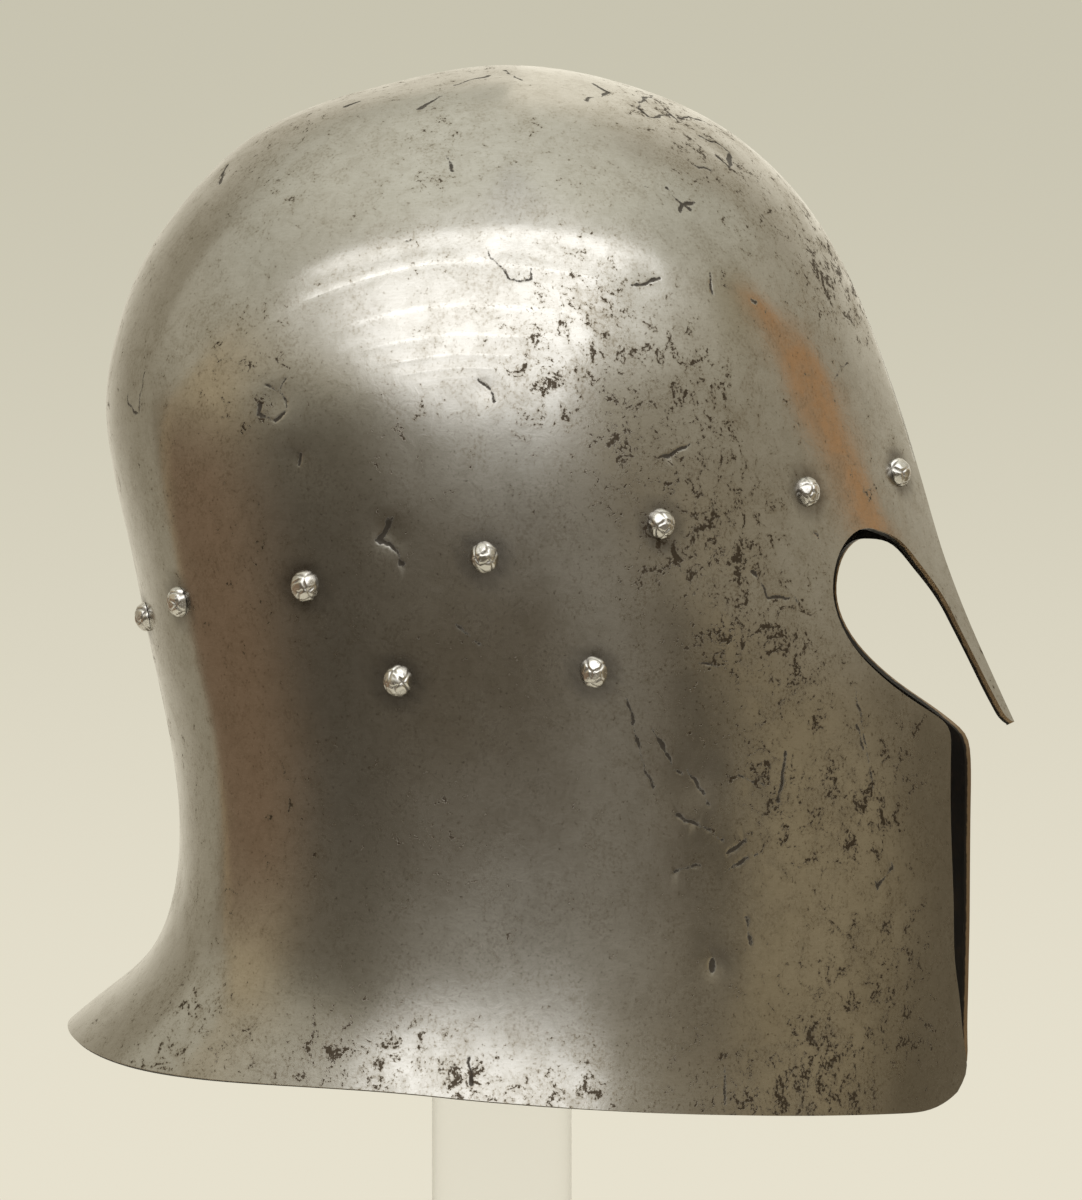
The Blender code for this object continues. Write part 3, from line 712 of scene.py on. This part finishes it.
def rivet_head(seed, rows=40, columns=96):
    """A dome whose radius in every direction is pressed in where two blows meet:
    1 - 0.12 * crease, where crease is 1 halfway between the two nearest blows and
    falls to 0 within a third of a radian, less a shallow flat under each blow."""
    draw = np.random.default_rng(seed)
    lean = np.linspace(0, np.pi / 2, rows)[:, None]
    turn = np.linspace(0, 2 * np.pi, columns + 1)[None, :-1]
    aim = np.stack([np.sin(lean) * np.cos(turn), np.sin(lean) * np.sin(turn), np.cos(lean) + 0 * turn], -1)
    ring_of = np.arange(BLOWS)
    blow_lean = np.where(ring_of < 1, 0.25, np.where(ring_of < 5, 0.78, 1.34))
    blow_lean = blow_lean + draw.uniform(-0.20, 0.20, BLOWS)
    blow_turn = ring_of * np.pi / 2 + draw.uniform(-0.5, 0.5, BLOWS) + np.where(ring_of < 5, 0, 0.8)
    blow_turn = blow_turn + draw.uniform(0, 2 * np.pi)
    blow = np.stack([
        np.sin(blow_lean) * np.cos(blow_turn), np.sin(blow_lean) * np.sin(blow_turn), np.cos(blow_lean),
    ], -1)
    angle = np.sort(np.arccos(np.clip(aim @ blow.T, -1, 1)), axis=-1)
    depth = 0.5 + 0.5 * np.cos(3 * turn + draw.uniform(0, 6) + 4 * lean)
    crease = np.clip(1 - (angle[..., 1] - angle[..., 0]) / 0.32, 0, 1) ** 1.6 * (0.35 + 0.65 * depth)
    flat = 0.06 * np.exp(-((angle[..., 0] / 0.30) ** 2))
    radius = 1 - 0.12 * crease - flat
    squeeze = draw.uniform(0.88, 0.95)
    lump = 1 - 0.04 * np.clip(np.cos(turn - draw.uniform(0, 2 * np.pi)), 0, None) * np.sin(lean)
    return aim * (radius * lump)[..., None] * (HEAD * squeeze, HEAD, HEAD_RISE), crease


def rivet(seed, spot, out, sink):
    """A closed body of revolution but for its hammered dome: head, shank through the
    plate and the clenched end inside, as rings of points about the rivet's axis."""
    dome, crease = rivet_head(seed)
    columns = dome.shape[1]
    turn = np.linspace(0, 2 * np.pi, columns + 1)[:-1]
    below = np.array([
        (SHANK, 0.0), (SHANK, -TAIL_DROP), (TAIL, -TAIL_DROP),
        (TAIL * 0.97, -TAIL_DROP - 0.5), (TAIL * 0.8, -TAIL_DROP - 0.9), (0.0, -TAIL_DROP - 0.9),
    ])
    rings = np.stack([
        below[:, :1] * np.cos(turn), below[:, :1] * np.sin(turn), below[:, 1:] + 0 * turn,
    ], axis=-1)
    local = np.concatenate([dome, rings])
    local = np.concatenate([local, local[:, :1]], axis=1)
    groove = np.concatenate([crease, 0 * rings[..., 0] + 1])
    groove = np.concatenate([groove, groove[:, :1]], axis=1)
    across = np.cross(out, (0, 0, 1.0))
    across /= np.linalg.norm(across)
    axes = np.stack([across, np.cross(out, across), out])
    return local @ axes + spot - out * sink, groove


rivets = []
for number, node in enumerate(RIVET_NODES):
    low, high = (np.array(corner) / MM - (0, 0, LIFT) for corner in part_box(node))
    centre = (low + high) / 2
    side = np.sign(centre[0])
    station = find([centre[1:]], "yz", (0.5, 0.42))
    spot = np.array([float(v[0]) for v in face(station[:, 0], station[:, 1])]) * (side, 1, 1)
    out = outward(station, False)[0] * (side, 1, 1)
    placed, groove = rivet(700 + number, spot, out, hammered(spot[None])[0] - 0.02)
    quads = grid_quads(*placed.shape[:2])
    marks = {"groove": groove.ravel()}
    piece = body_of("hammered_" + node, placed.reshape(-1, 3), [quads], 0.002, marks=marks)
    piece.data.set_sharp_from_angle(angle=np.radians(50))
    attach(piece, "root")
    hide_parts(node)
    rivets.append(piece)
print(len(rivets), "rivets with", len(rivets[0].data.polygons), "faces each")

# %% [markdown]
# The stand is a round post on a round foot, both turned from clear acrylic.  A
# turned shape is a profile carried once around its axis.

# %% Turned post and foot
def turned(name, profile, middle, columns=128):
    """Each (radius, height) of the profile becomes a ring about the upright axis."""
    profile = np.array(profile)
    turn = np.linspace(0, 2 * np.pi, columns + 1)
    rings = np.stack([
        profile[:, :1] * np.cos(turn) + middle[0],
        profile[:, :1] * np.sin(turn) + middle[1],
        profile[:, 1:] + 0 * turn - LIFT,
    ], axis=-1)
    piece = body_of(name, rings.reshape(-1, 3), [grid_quads(*rings.shape[:2])], 0.001)
    piece.data.set_sharp_from_angle(angle=np.radians(40))
    return piece


def eased(radius, height, ease, turn_from, steps=6):
    """A quarter circle of the given radius that rounds a corner of a profile."""
    angle = np.radians(turn_from) + np.linspace(0, np.pi / 2, steps)
    return np.stack([radius + ease * np.cos(angle), height + ease * np.sin(angle)], -1)[::-1]


stand = []
for node, top_ease, foot_ease in (("stand_post", 3.0, 0.4), ("stand_base", 1.5, 0.8)):
    low, high = (np.array(corner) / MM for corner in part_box(node))
    middle, radius = (low + high) / 2, (high[0] - low[0]) / 2
    profile = np.concatenate([
        [(0.0, high[2])],
        eased(radius - top_ease, high[2] - top_ease, top_ease, 0),
        eased(radius - foot_ease, low[2] + foot_ease, foot_ease, -90),
        [(0.0, low[2])],
    ])
    piece = turned("clear_" + node, profile, middle)
    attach(piece, "root")
    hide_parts(node)
    stand.append(piece)
print("stand pieces:", [piece.name for piece in stand])

# %% [markdown]
# Materials here are sums of simple patterns.  Drawing them by hand as nodes hides
# the sums, so one small class wraps an output socket and lets Python's own + - * /
# lay the Math nodes.  Colours and vectors go through Mix and Vector Math, because a
# Math node would turn them grey.

# %% Nodes written as sums
def lays(operation, swapped=False):
    """A method that lays one Math node; swapped puts the other value first."""
    def method(self, other):
        return self.math(operation, *((other, self) if swapped else (self, other)))

    return method


class Wire:
    """One output socket that can stand in an expression."""

    def __init__(self, look, socket):
        self.look, self.socket = look, socket

    def math(self, operation, *values):
        return self.look.node("ShaderNodeMath", {"operation": operation}, dict(enumerate(values)))

    def __abs__(self):
        return self.math("ABSOLUTE", self)

    __add__ = __radd__ = lays("ADD")
    __mul__ = __rmul__ = lays("MULTIPLY")
    __sub__, __rsub__ = lays("SUBTRACT"), lays("SUBTRACT", swapped=True)
    __truediv__, __pow__ = lays("DIVIDE"), lays("POWER")
    most, least = lays("MAXIMUM"), lays("MINIMUM")


class Look:
    """A node tree of a material or of the world, filled one node at a time."""

    def __init__(self, owner):
        owner.use_nodes = True
        self.tree = owner.node_tree
        self.tree.nodes.clear()

    def node(self, kind, settings=None, sockets=None, output=0):
        made = self.tree.nodes.new(kind)
        for name, value in (settings or {}).items():
            if name == "stops":
                ramp = made.color_ramp
                while len(ramp.elements) < len(value):
                    ramp.elements.new(0.5)
                for element, (place, colour) in zip(ramp.elements, value):
                    element.position, element.color = place, (*colour, 1.0)
            else:
                setattr(made, name, value)
        for key, value in (sockets or {}).items():
            if isinstance(value, Wire):
                self.tree.links.new(value.socket, made.inputs[key])
            else:
                made.inputs[key].default_value = value
        return Wire(self, made.outputs[output])

    def vector(self, operation, *values, output=0):
        sockets = dict(enumerate(values))
        return self.node("ShaderNodeVectorMath", {"operation": operation}, sockets, output)

    def steps(self, value, low, high):
        """0 below low, 1 above high and a smooth S between them."""
        return self.node(
            "ShaderNodeMapRange", {"interpolation_type": "SMOOTHSTEP"},
            {"Value": value, "From Min": low, "From Max": high},
        )

    def band(self, value, low, high, soft):
        """1 from low to high, with both ends faded over twice soft."""
        rising = self.steps(value, low - soft, low + soft)
        return rising * self.steps(value, high + soft, high - soft)

    def mix(self, factor, first, second):
        colours = {0: factor}
        for key, value in ((6, first), (7, second)):
            colours[key] = value if isinstance(value, Wire) else (*value, 1.0)
        return self.node("ShaderNodeMix", {"data_type": "RGBA"}, colours, 2)

    def cloud(self, at, size, detail=2.0, rough=0.5, twist=0.0):
        """Noise about as coarse as size, in the units of the coordinates."""
        return self.node("ShaderNodeTexNoise", {}, {
            "Vector": at, "Scale": 1.0 / size, "Detail": detail,
            "Roughness": rough, "Distortion": twist,
        })

    def mark(self, name):
        """A number kept at every point of the mesh."""
        return self.node("ShaderNodeAttribute", {"attribute_name": name}, output=2)

    def millimetres(self):
        """The piece's own coordinates, counted in millimetres from the lowest rim point."""
        place = self.node("ShaderNodeTexCoord", output=3)
        return self.vector("MULTIPLY_ADD", place, (1 / MM,) * 3, (0, 0, -LIFT))

    def surface(self, sockets, height=None):
        """End a material with one Principled surface, bumped by a height in millimetres."""
        if height is not None:
            bump = {"Strength": 1.0, "Distance": MM, "Height": height}
            sockets["Normal"] = self.node("ShaderNodeBump", {}, bump)
        shader = self.node("ShaderNodeBsdfPrincipled", {}, sockets)
        end = self.tree.nodes.new("ShaderNodeOutputMaterial")
        self.tree.links.new(shader.socket, end.inputs[0])


def new_look(name):
    made = bpy.data.materials.new(name)
    return made, Look(made)


print("helpers ready:", Wire.__name__, "for sums and", Look.__name__, "for whole trees")

# %% [markdown]
# The steel is five centuries old.  Under the polish it is pitted where it once
# rusted: dense clusters on the cheeks, the brow and along the rim, single specks
# elsewhere.  A pit is where the sum of a coarse noise, a fine one and the number for
# settled rust passes a threshold.  Pits are darker, rougher and lower than the skin.
# All of it is solid texture in the helmet's own millimetres, so it runs over the
# welds without a seam.
#
# The planishing hammer went around the bowl in rings, closer and closer towards the
# side.  Between two rings the steel is very slightly hollow, so a soft lamp shows
# as thin bright arcs, and on the side that faces the camera a painted highlight
# lightens the colour along them.  Around the rivets the steel is darker, grime and
# painted shade together.

# %% The steel of the outer face
RING_FOOT = 183.9  # height where the hammered rings would meet
RING_TOP = 33.75  # millimetres from there up to where their count starts
RINGS_PER_E = 2.593  # how many rings while that height falls to 1 / e
RING_DEPTH = 0.0042  # hollow between two rings, as a share of that height


def planished(look, place):
    """Height of the hammered rings, and a painted highlight along them on the side
    that faces the camera.  The height in millimetres is
    -0.0042 * h * |sin(pi n)|, n = -2.593 * ln(h / 33.75), h = z - 183.9, with z
    swayed a little by y^2 and by noise, and the rings are shorter lower down."""
    across, along_plate, up = (
        look.node("ShaderNodeSeparateXYZ", sockets={0: place}, output=k) for k in (0, 1, 2)
    )
    beside = along_plate + 4.0
    high = up + beside * beside * 0.004 + (look.cloud(place, 34.0, 1.0) - 0.5) * 4.0
    above = (high - RING_FOOT).most(0.5)
    share = above * (1 / RING_TOP)
    count = above.math("LOGARITHM", share, float(np.e)) * -RINGS_PER_E
    arch = abs(count.math("SINE", count * np.pi))
    reach = abs(along_plate - 5.0) / share ** 0.75
    here = look.steps(high, 186.0, 194.0) * look.steps(high, 229.0, 221.0)
    here = here * look.steps(reach, 50.0, 24.0)
    # painted highlight: the colour is lightened along each ring, only where the lamp shows and on the side
    # that faces the camera
    painted_highlight = look.steps(arch, 0.42, 0.0) * here * look.steps(across, 20.0, -30.0)
    return above * arch * here * -RING_DEPTH, painted_highlight


def steel_look():
    """Patina in large clouds, brown stains, freckles and pits where rust had settled,
    grime and painted shade around the rivets, a painted highlight along the hammered
    rings and black in the cracks, one mixed over the other."""
    made, look = new_look("old_polished_steel")
    place = look.millimetres()
    rings, painted_ring_highlight = planished(look, place)
    settled, grime, away = (look.mark(name) for name in ("rust", "grime", "flaw"))
    drift = look.cloud(place, 26.0, 3.0, 0.55)
    island = look.cloud(place, 4.6, 5.0, 0.66, 0.8)
    grain = look.cloud(place, 0.85, 3.0, 0.62)
    bitten = 0.012 + island + 0.55 * grain + 0.11 * settled + 0.25 * (drift - 0.5)
    pits = look.steps(bitten, 0.985, 1.03)
    crack = look.steps(away + (grain - 0.5) * 1.2, 0.27, -0.04)
    stained = look.steps(bitten, 0.90, 1.00)
    specks = look.steps(grain + 0.22 * island + 0.035 * settled, 0.785, 0.84)

    patina = look.cloud(place, 55.0, 4.0, 0.6)
    cloudy = look.steps(look.cloud(place, 12.0, 6.0, 0.72, 0.4), 0.40, 0.68)
    stain = cloudy * (0.42 + 0.58 * settled)
    rubbed = look.cloud(look.vector("MULTIPLY", place, (0.22, 0.22, 1.0)), 0.45, 2.0)
    steel = look.mix(look.steps(patina, 0.3, 0.7), (0.575, 0.56, 0.53), (0.655, 0.645, 0.62))
    # painted highlight: lighter steel along the hammered rings
    steel = look.mix(painted_ring_highlight * 0.45, steel, (0.90, 0.895, 0.88))
    steel = look.mix(stain * 0.45, steel, (0.36, 0.325, 0.260))
    freckles = look.steps(grain + 0.14 * cloudy, 0.56, 0.76)
    steel = look.mix(freckles * (0.38 + 0.22 * settled), steel, (0.28, 0.240, 0.180))
    steel = look.mix(look.steps(rubbed, 0.25, 0.75) * 0.16, steel, (0.36, 0.33, 0.27))
    steel = look.mix(look.steps(island, 0.42, 0.64) * 0.22, steel, (0.34, 0.315, 0.260))
    steel = look.mix(stained * 0.40, steel, (0.27, 0.225, 0.165))
    # grime and painted shade around the rivets
    steel = look.mix(grime * (0.50 + 0.4 * cloudy), steel, (0.10, 0.085, 0.070))
    steel = look.mix(pits.most(specks * 0.7) * 0.91, steel, (0.075, 0.056, 0.038))
    steel = look.mix(crack * 0.93, steel, (0.042, 0.032, 0.023))

    rough = 0.10 + 0.08 * patina + 0.17 * stain + 0.08 * stained
    rough = rough + 0.10 * grime + 0.22 * pits.most(crack)
    height = rings + 0.028 * island - 0.02 * pits + 0.0015 * rubbed
    look.surface({"Base Color": steel, "Metallic": 1.0 - 0.5 * crack, "Roughness": rough}, height)
    return made


def inside_look():
    """The inner face was never polished: black scale with a little brown rust."""
    made, look = new_look("black_inner_scale")
    place = look.millimetres()
    rust = look.steps(look.cloud(place, 12.0, 5.0, 0.65), 0.45, 0.7)
    grain = look.cloud(place, 1.6, 4.0, 0.6)
    scale = look.mix(rust, (0.022, 0.020, 0.019), (0.060, 0.042, 0.030))
    sockets = {"Base Color": scale, "Metallic": 0.4, "Roughness": 0.52 + 0.2 * rust}
    look.surface(sockets, grain * 0.12)
    return made


def edge_look():
    """The cut edges are near black, old scale with painted shade on them, and rubbed to
    a warm brown beside the outer face, where skin is near 1, and further in along the nasal."""
    made, look = new_look("worn_cut_edge")
    place = look.millimetres()
    nicks = look.cloud(place, 2.2, 4.0, 0.65)
    across = look.node("ShaderNodeSeparateXYZ", sockets={0: place})
    nasal = look.steps(abs(across), 26.0, 12.0)
    rubbed = look.steps(look.mark("skin") + 0.5 * (nicks - 0.5) + 0.32 * nasal, 0.62, 0.84)
    # near black on the cut edges: scale and painted shade together
    brown = look.mix(rubbed, (0.014, 0.011, 0.008), (0.27, 0.185, 0.105))
    sockets = {"Base Color": brown, "Metallic": 0.6, "Roughness": 0.55 - 0.15 * rubbed}
    look.surface(sockets, nicks * 0.12)
    return made


for finish in (steel_look(), inside_look(), edge_look()):
    skull.data.materials.append(finish)
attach(skull, "root")
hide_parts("skull")
print("finishes of the skull:", [finish.name for finish in skull.data.materials])

# %% [markdown]
# The rivet heads stand proud, so every cloth that ever wiped the helmet has
# polished them: they are brighter than the plate, and darker in the grooves.

# %% Bright rivet heads
def rivet_look():
    made, look = new_look("rubbed_rivet_iron")
    place = look.millimetres()
    groove = look.mark("groove")
    blotch = look.steps(look.cloud(place, 1.9, 4.0, 0.65, 0.5), 0.58, 0.70)
    # darker in the grooves between the blows and in small blotches
    grooves_and_blotches = look.steps(groove, 0.35, 1.0).most(blotch * 0.45)
    iron = look.mix(grooves_and_blotches * 0.8, (0.78, 0.765, 0.74), (0.11, 0.085, 0.062))
    height = look.cloud(place, 1.1, 3.0, 0.6) * 0.08 - blotch * 0.05
    sockets = {"Base Color": iron, "Metallic": 1.0 - 0.6 * grooves_and_blotches, "Roughness": 0.20 + 0.30 * grooves_and_blotches}
    look.surface(sockets, height)
    return made


iron = rivet_look()
for piece in rivets:
    piece.data.materials.append(iron)
print("rivets wear", iron.name)

# %% [markdown]
# Acrylic is nearly invisible from straight ahead and mirrors the room at its edges.
# Real refraction would show the dark side of the room inside the foot, so the clear
# body is made by letting light pass, less and less where the surface turns away.

# %% Clear acrylic
def acrylic_look():
    made, look = new_look("clear_turned_acrylic")
    place = look.millimetres()
    wave = look.cloud(look.vector("MULTIPLY", place, (1.0, 1.0, 0.15)), 16.0, 1.0)
    smear = look.cloud(place, 25.0, 3.0, 0.6)
    rim = look.node("ShaderNodeLayerWeight", {}, {"Blend": 0.5}, output=1) ** 5.0
    look.surface({
        "Base Color": (0.88, 0.87, 0.80, 1.0), "Roughness": 0.03 + 0.05 * smear,
        "IOR": 1.49, "Alpha": 0.05 + 0.65 * rim,
    }, wave * 0.05)
    return made


clear = acrylic_look()
for piece in stand:
    piece.data.materials.append(clear)
print("stand wears", clear.name)

# %% [markdown]
# The helmet stands in a plain studio: a pale paper sweep behind it, one large soft
# light high on the camera's side, a dim room around and two warm wooden panels
# beside the sweep.  Polished steel shows its surroundings more than its colour, so
# the room is part of the look.  The floor is a pale disc that fades into the sweep.

# %% Camera
VIEW_AZIMUTH = np.radians(-86.0)
CAMERA_DISTANCE = 1.150
FOCAL_LENGTH, SENSOR_WIDTH = 126.84, 36.0
AIM_DROP = 0.005  # how far below the skull's middle the camera aims

toward = np.array([np.sin(VIEW_AZIMUTH), -np.cos(VIEW_AZIMUTH), 0.0])
target = np.array((skull_low + skull_high) / 2) * MM - (0, 0, AIM_DROP)
target[0] = 0.0
camera = bpy.data.objects.new("camera", bpy.data.cameras.new("camera"))
bpy.context.scene.collection.objects.link(camera)
camera.data.lens = FOCAL_LENGTH
camera.data.sensor_width = SENSOR_WIDTH
camera.location = target + toward * CAMERA_DISTANCE
camera.rotation_euler = Vector(-toward).to_track_quat("-Z", "Y").to_euler()
bpy.context.scene.camera = camera
bpy.context.scene.view_settings.view_transform = "Standard"
print("camera at", [round(v, 3) for v in camera.location])

# %% The room that the steel mirrors
ROOM_BY_HEIGHT = (  # elevation in degrees and radiance, from the floor to the ceiling
    (-25, (0.145, 0.115, 0.078)), (-6, (0.185, 0.150, 0.105)), (5, (0.30, 0.255, 0.180)),
    (15, (0.44, 0.40, 0.305)), (25, (0.52, 0.48, 0.375)), (45, (0.61, 0.585, 0.48)),
    (65, (0.79, 0.765, 0.645)), (90, (0.85, 0.83, 0.715)),
)


def room():
    """Colour by azimuth and elevation, counted in degrees from the camera's side: the
    room by height, then layers mixed over it: gloom, wooden panels, paper and lamps.
    Only what mirrors sees it; looked at directly the room is plain pale paper."""
    world = bpy.data.worlds.new("plain studio")
    bpy.context.scene.world = world
    look = Look(world)
    steps, band = look.steps, look.band
    aim = look.node("ShaderNodeTexCoord", output=0)
    ahead = look.vector("DOT_PRODUCT", aim, tuple(toward), output=1)
    aside = look.vector("DOT_PRODUCT", aim, tuple(np.cross((0, 0, 1), toward)), output=1)
    up = look.node("ShaderNodeSeparateXYZ", sockets={0: aim}, output=2)
    azimuth = aside.math("ARCTAN2", aside, ahead) * (180 / np.pi)
    height = up.math("ARCSINE", up) * (180 / np.pi)

    low, high = ROOM_BY_HEIGHT[0][0], ROOM_BY_HEIGHT[-1][0]
    stops = [((level - low) / (high - low), colour) for level, colour in ROOM_BY_HEIGHT]
    share = (height - low) / (high - low)
    mirrored = look.node("ShaderNodeValToRGB", {"stops": stops}, {0: share})

    off_centre = abs(azimuth - 7.0)
    in_front = steps(azimuth, 10.0, 34.0)
    paper_front = steps(azimuth, -10.0, 10.0)
    lean_back = azimuth + 107.5 - height * 0.9  # 0 on the leaning edge of the brown panel
    lean_front = azimuth - 118.0 + (height - 10.0)  # and on that of the orange one
    across = (azimuth - 5.0) * (1 / 52.0)
    arch = height + across * across * 15.0  # height along the arched lamp
    rise = height + azimuth.least(0.0) * 0.22
    shade_side = off_centre - (height - 12.0) * 0.9

    paper_edge = steps(abs(azimuth) - paper_front * 4.0, 113.0, 119.0)
    paper_top = steps(height - paper_front * 18.0, 54.0, 32.0)
    paper_far = steps(abs(azimuth) + paper_front * 22.0, 126.0, 204.0)
    paper = look.mix(paper_far, (0.38, 0.338, 0.250), (1.05, 0.99, 0.83))
    shade = look.mix(steps(height, 9.0, 23.0), (1.05, 1.03, 0.97), (1.58, 1.56, 1.50))
    layers = (
        # the camera's side is dark below, more so towards the back
        (
            band(azimuth, -72.0, 86.0, 14.0) * steps(height, 24.0, 4.0) * (0.38 - 0.28 * in_front),
            (0.07, 0.065, 0.05),
        ),
        (band(azimuth, -62.0, -22.0, 16.0) * steps(height, 26.0, 6.0) * 0.35, (0.07, 0.065, 0.055)),
        (steps(off_centre, 42.0, 4.0) * steps(height, -12.0, 14.0) * 0.8, (0.60, 0.585, 0.53)),
        # wooden panel at the back: olive above, brown below, with a golden edge
        (
            steps(lean_back, -4.0, 3.0) * steps(azimuth, -46.0, -80.0)
            * band(height, 4.0, 29.0, 9.0) * 0.85,
            (0.475, 0.385, 0.245),
        ),
        (
            steps(lean_back, -3.0, 3.0) * steps(azimuth, -40.0, -88.0) * steps(height, 15.0, -6.0),
            (0.228, 0.155, 0.097),
        ),
        (band(lean_back, -3.0, 0.5, 1.0) * steps(height, 14.0, 2.0) * 0.7, (0.46, 0.33, 0.18)),
        # wooden panels in front: tan with a dark end, a pale strip and a dark seam
        (band(azimuth, 62.0, 120.0, 9.0) * steps(height, 9.0, -3.0), (0.290, 0.235, 0.145)),
        (band(azimuth, 97.0, 124.0, 8.0) * steps(height, 10.0, 2.0), (0.155, 0.125, 0.080)),
        (band(azimuth, 20.0, 46.0, 9.0) * steps(height, 10.0, -2.0) * 0.5, (0.27, 0.250, 0.205)),
        (band(azimuth, 49.0, 62.0, 5.0) * steps(height, 4.0, -4.0) * 0.5, (0.08, 0.070, 0.05)),
        # the orange panel above them, and the shadow beside it
        (band(azimuth, 86.0, 103.0, 5.0) * band(height, 18.0, 31.0, 4.0) * 0.65, (0.30, 0.255, 0.155)),
        (
            steps(lean_front, 1.5, -0.5) * steps(lean_front, -10.5, -4.5)
            * band(height, 8.0, 25.0, 5.0) * 0.95,
            (0.50, 0.262, 0.105),
        ),
        # the paper sweep, brightest straight behind and reaching higher in front
        (paper_edge * paper_top, paper),
        # the soft lamp: its glow, a long arched tube above and a wide shade below
        (
            steps(off_centre, 84.0, 38.0) * steps(arch, 94.0, 60.0) * steps(rise, 10.0, 30.0) * 0.8,
            (1.10, 1.075, 0.99),
        ),
        (
            steps(arch, 56.0, 59.0) * steps(arch, 71.0, 60.0) * steps(off_centre, 70.0, 52.0),
            (2.00, 1.98, 1.92),
        ),
        (steps(arch, 53.0, 49.5) * steps(height, 4.0, 15.0) * steps(shade_side, 31.0, 17.0), shade),
    )
    for mask, colour in layers:
        mirrored = look.mix(mask, mirrored, colour)

    plain = look.mix(steps(height, -9.0, 9.0), (0.80, 0.755, 0.62), (0.575, 0.548, 0.435))
    direct = look.node("ShaderNodeLightPath", output="Is Camera Ray")
    colour = look.mix(direct, mirrored, plain)
    back = look.node("ShaderNodeBackground", {}, {"Color": colour, "Strength": 1.0})
    end = look.tree.nodes.new("ShaderNodeOutputWorld")
    look.tree.links.new(back.socket, end.inputs[0])
    return len(layers)


print("the room has", room(), "layers")


def soft_light(name, azimuth, height, distance, wide, tall, radiance, colour):
    """A flat light that faces the helmet.  Its power is radiance * pi * area."""
    a, h = np.radians(azimuth), np.radians(height)
    beside = np.cross((0, 0, 1), toward)
    aim = (toward * np.cos(a) + beside * np.sin(a)) * np.cos(h) + np.array([0, 0, np.sin(h)])
    data = bpy.data.lights.new(name, "AREA")
    data.shape, data.size, data.size_y = "RECTANGLE", wide, tall
    data.energy = radiance * np.pi * wide * tall
    data.color = colour
    lamp = bpy.data.objects.new(name, data)
    bpy.context.scene.collection.objects.link(lamp)
    lamp.location = target + aim * distance
    lamp.rotation_euler = Vector(-aim).to_track_quat("-Z", "Y").to_euler()
    lamp.visible_camera = False
    return lamp


soft_light("soft box", 5.0, 42.0, 1.3, 1.30, 0.60, 0.15, (1.0, 0.98, 0.94))

# %% Floor
def floor_disc(radius=0.60, rings=24, columns=96):
    """Rings of points around the foot, a hair below it."""
    reach = np.linspace(0, radius, rings)[:, None]
    turn = np.linspace(0, 2 * np.pi, columns + 1)[None]
    points = np.stack([reach * np.cos(turn), reach * np.sin(turn), 0 * reach - 0.0004 + 0 * turn], -1)
    points = points.reshape(-1, 3) / MM - (0, 0, LIFT)
    return body_of("floor", points, [grid_quads(rings, columns + 1, flip=True)], 0.001)


floor = floor_disc()
made, look = new_look("pale_paper")
place = look.node("ShaderNodeTexCoord", output=3)
reach = look.vector("LENGTH", place, output=1)
fibre = look.cloud(place, 0.02, 4.0, 0.6)
paper = look.mix(fibre, (0.80, 0.77, 0.68), (0.86, 0.83, 0.74))
look.surface({"Base Color": paper, "Roughness": 0.85, "Alpha": look.steps(reach, 0.58, 0.16)})
floor.data.materials.append(made)
print("floor", floor.name)
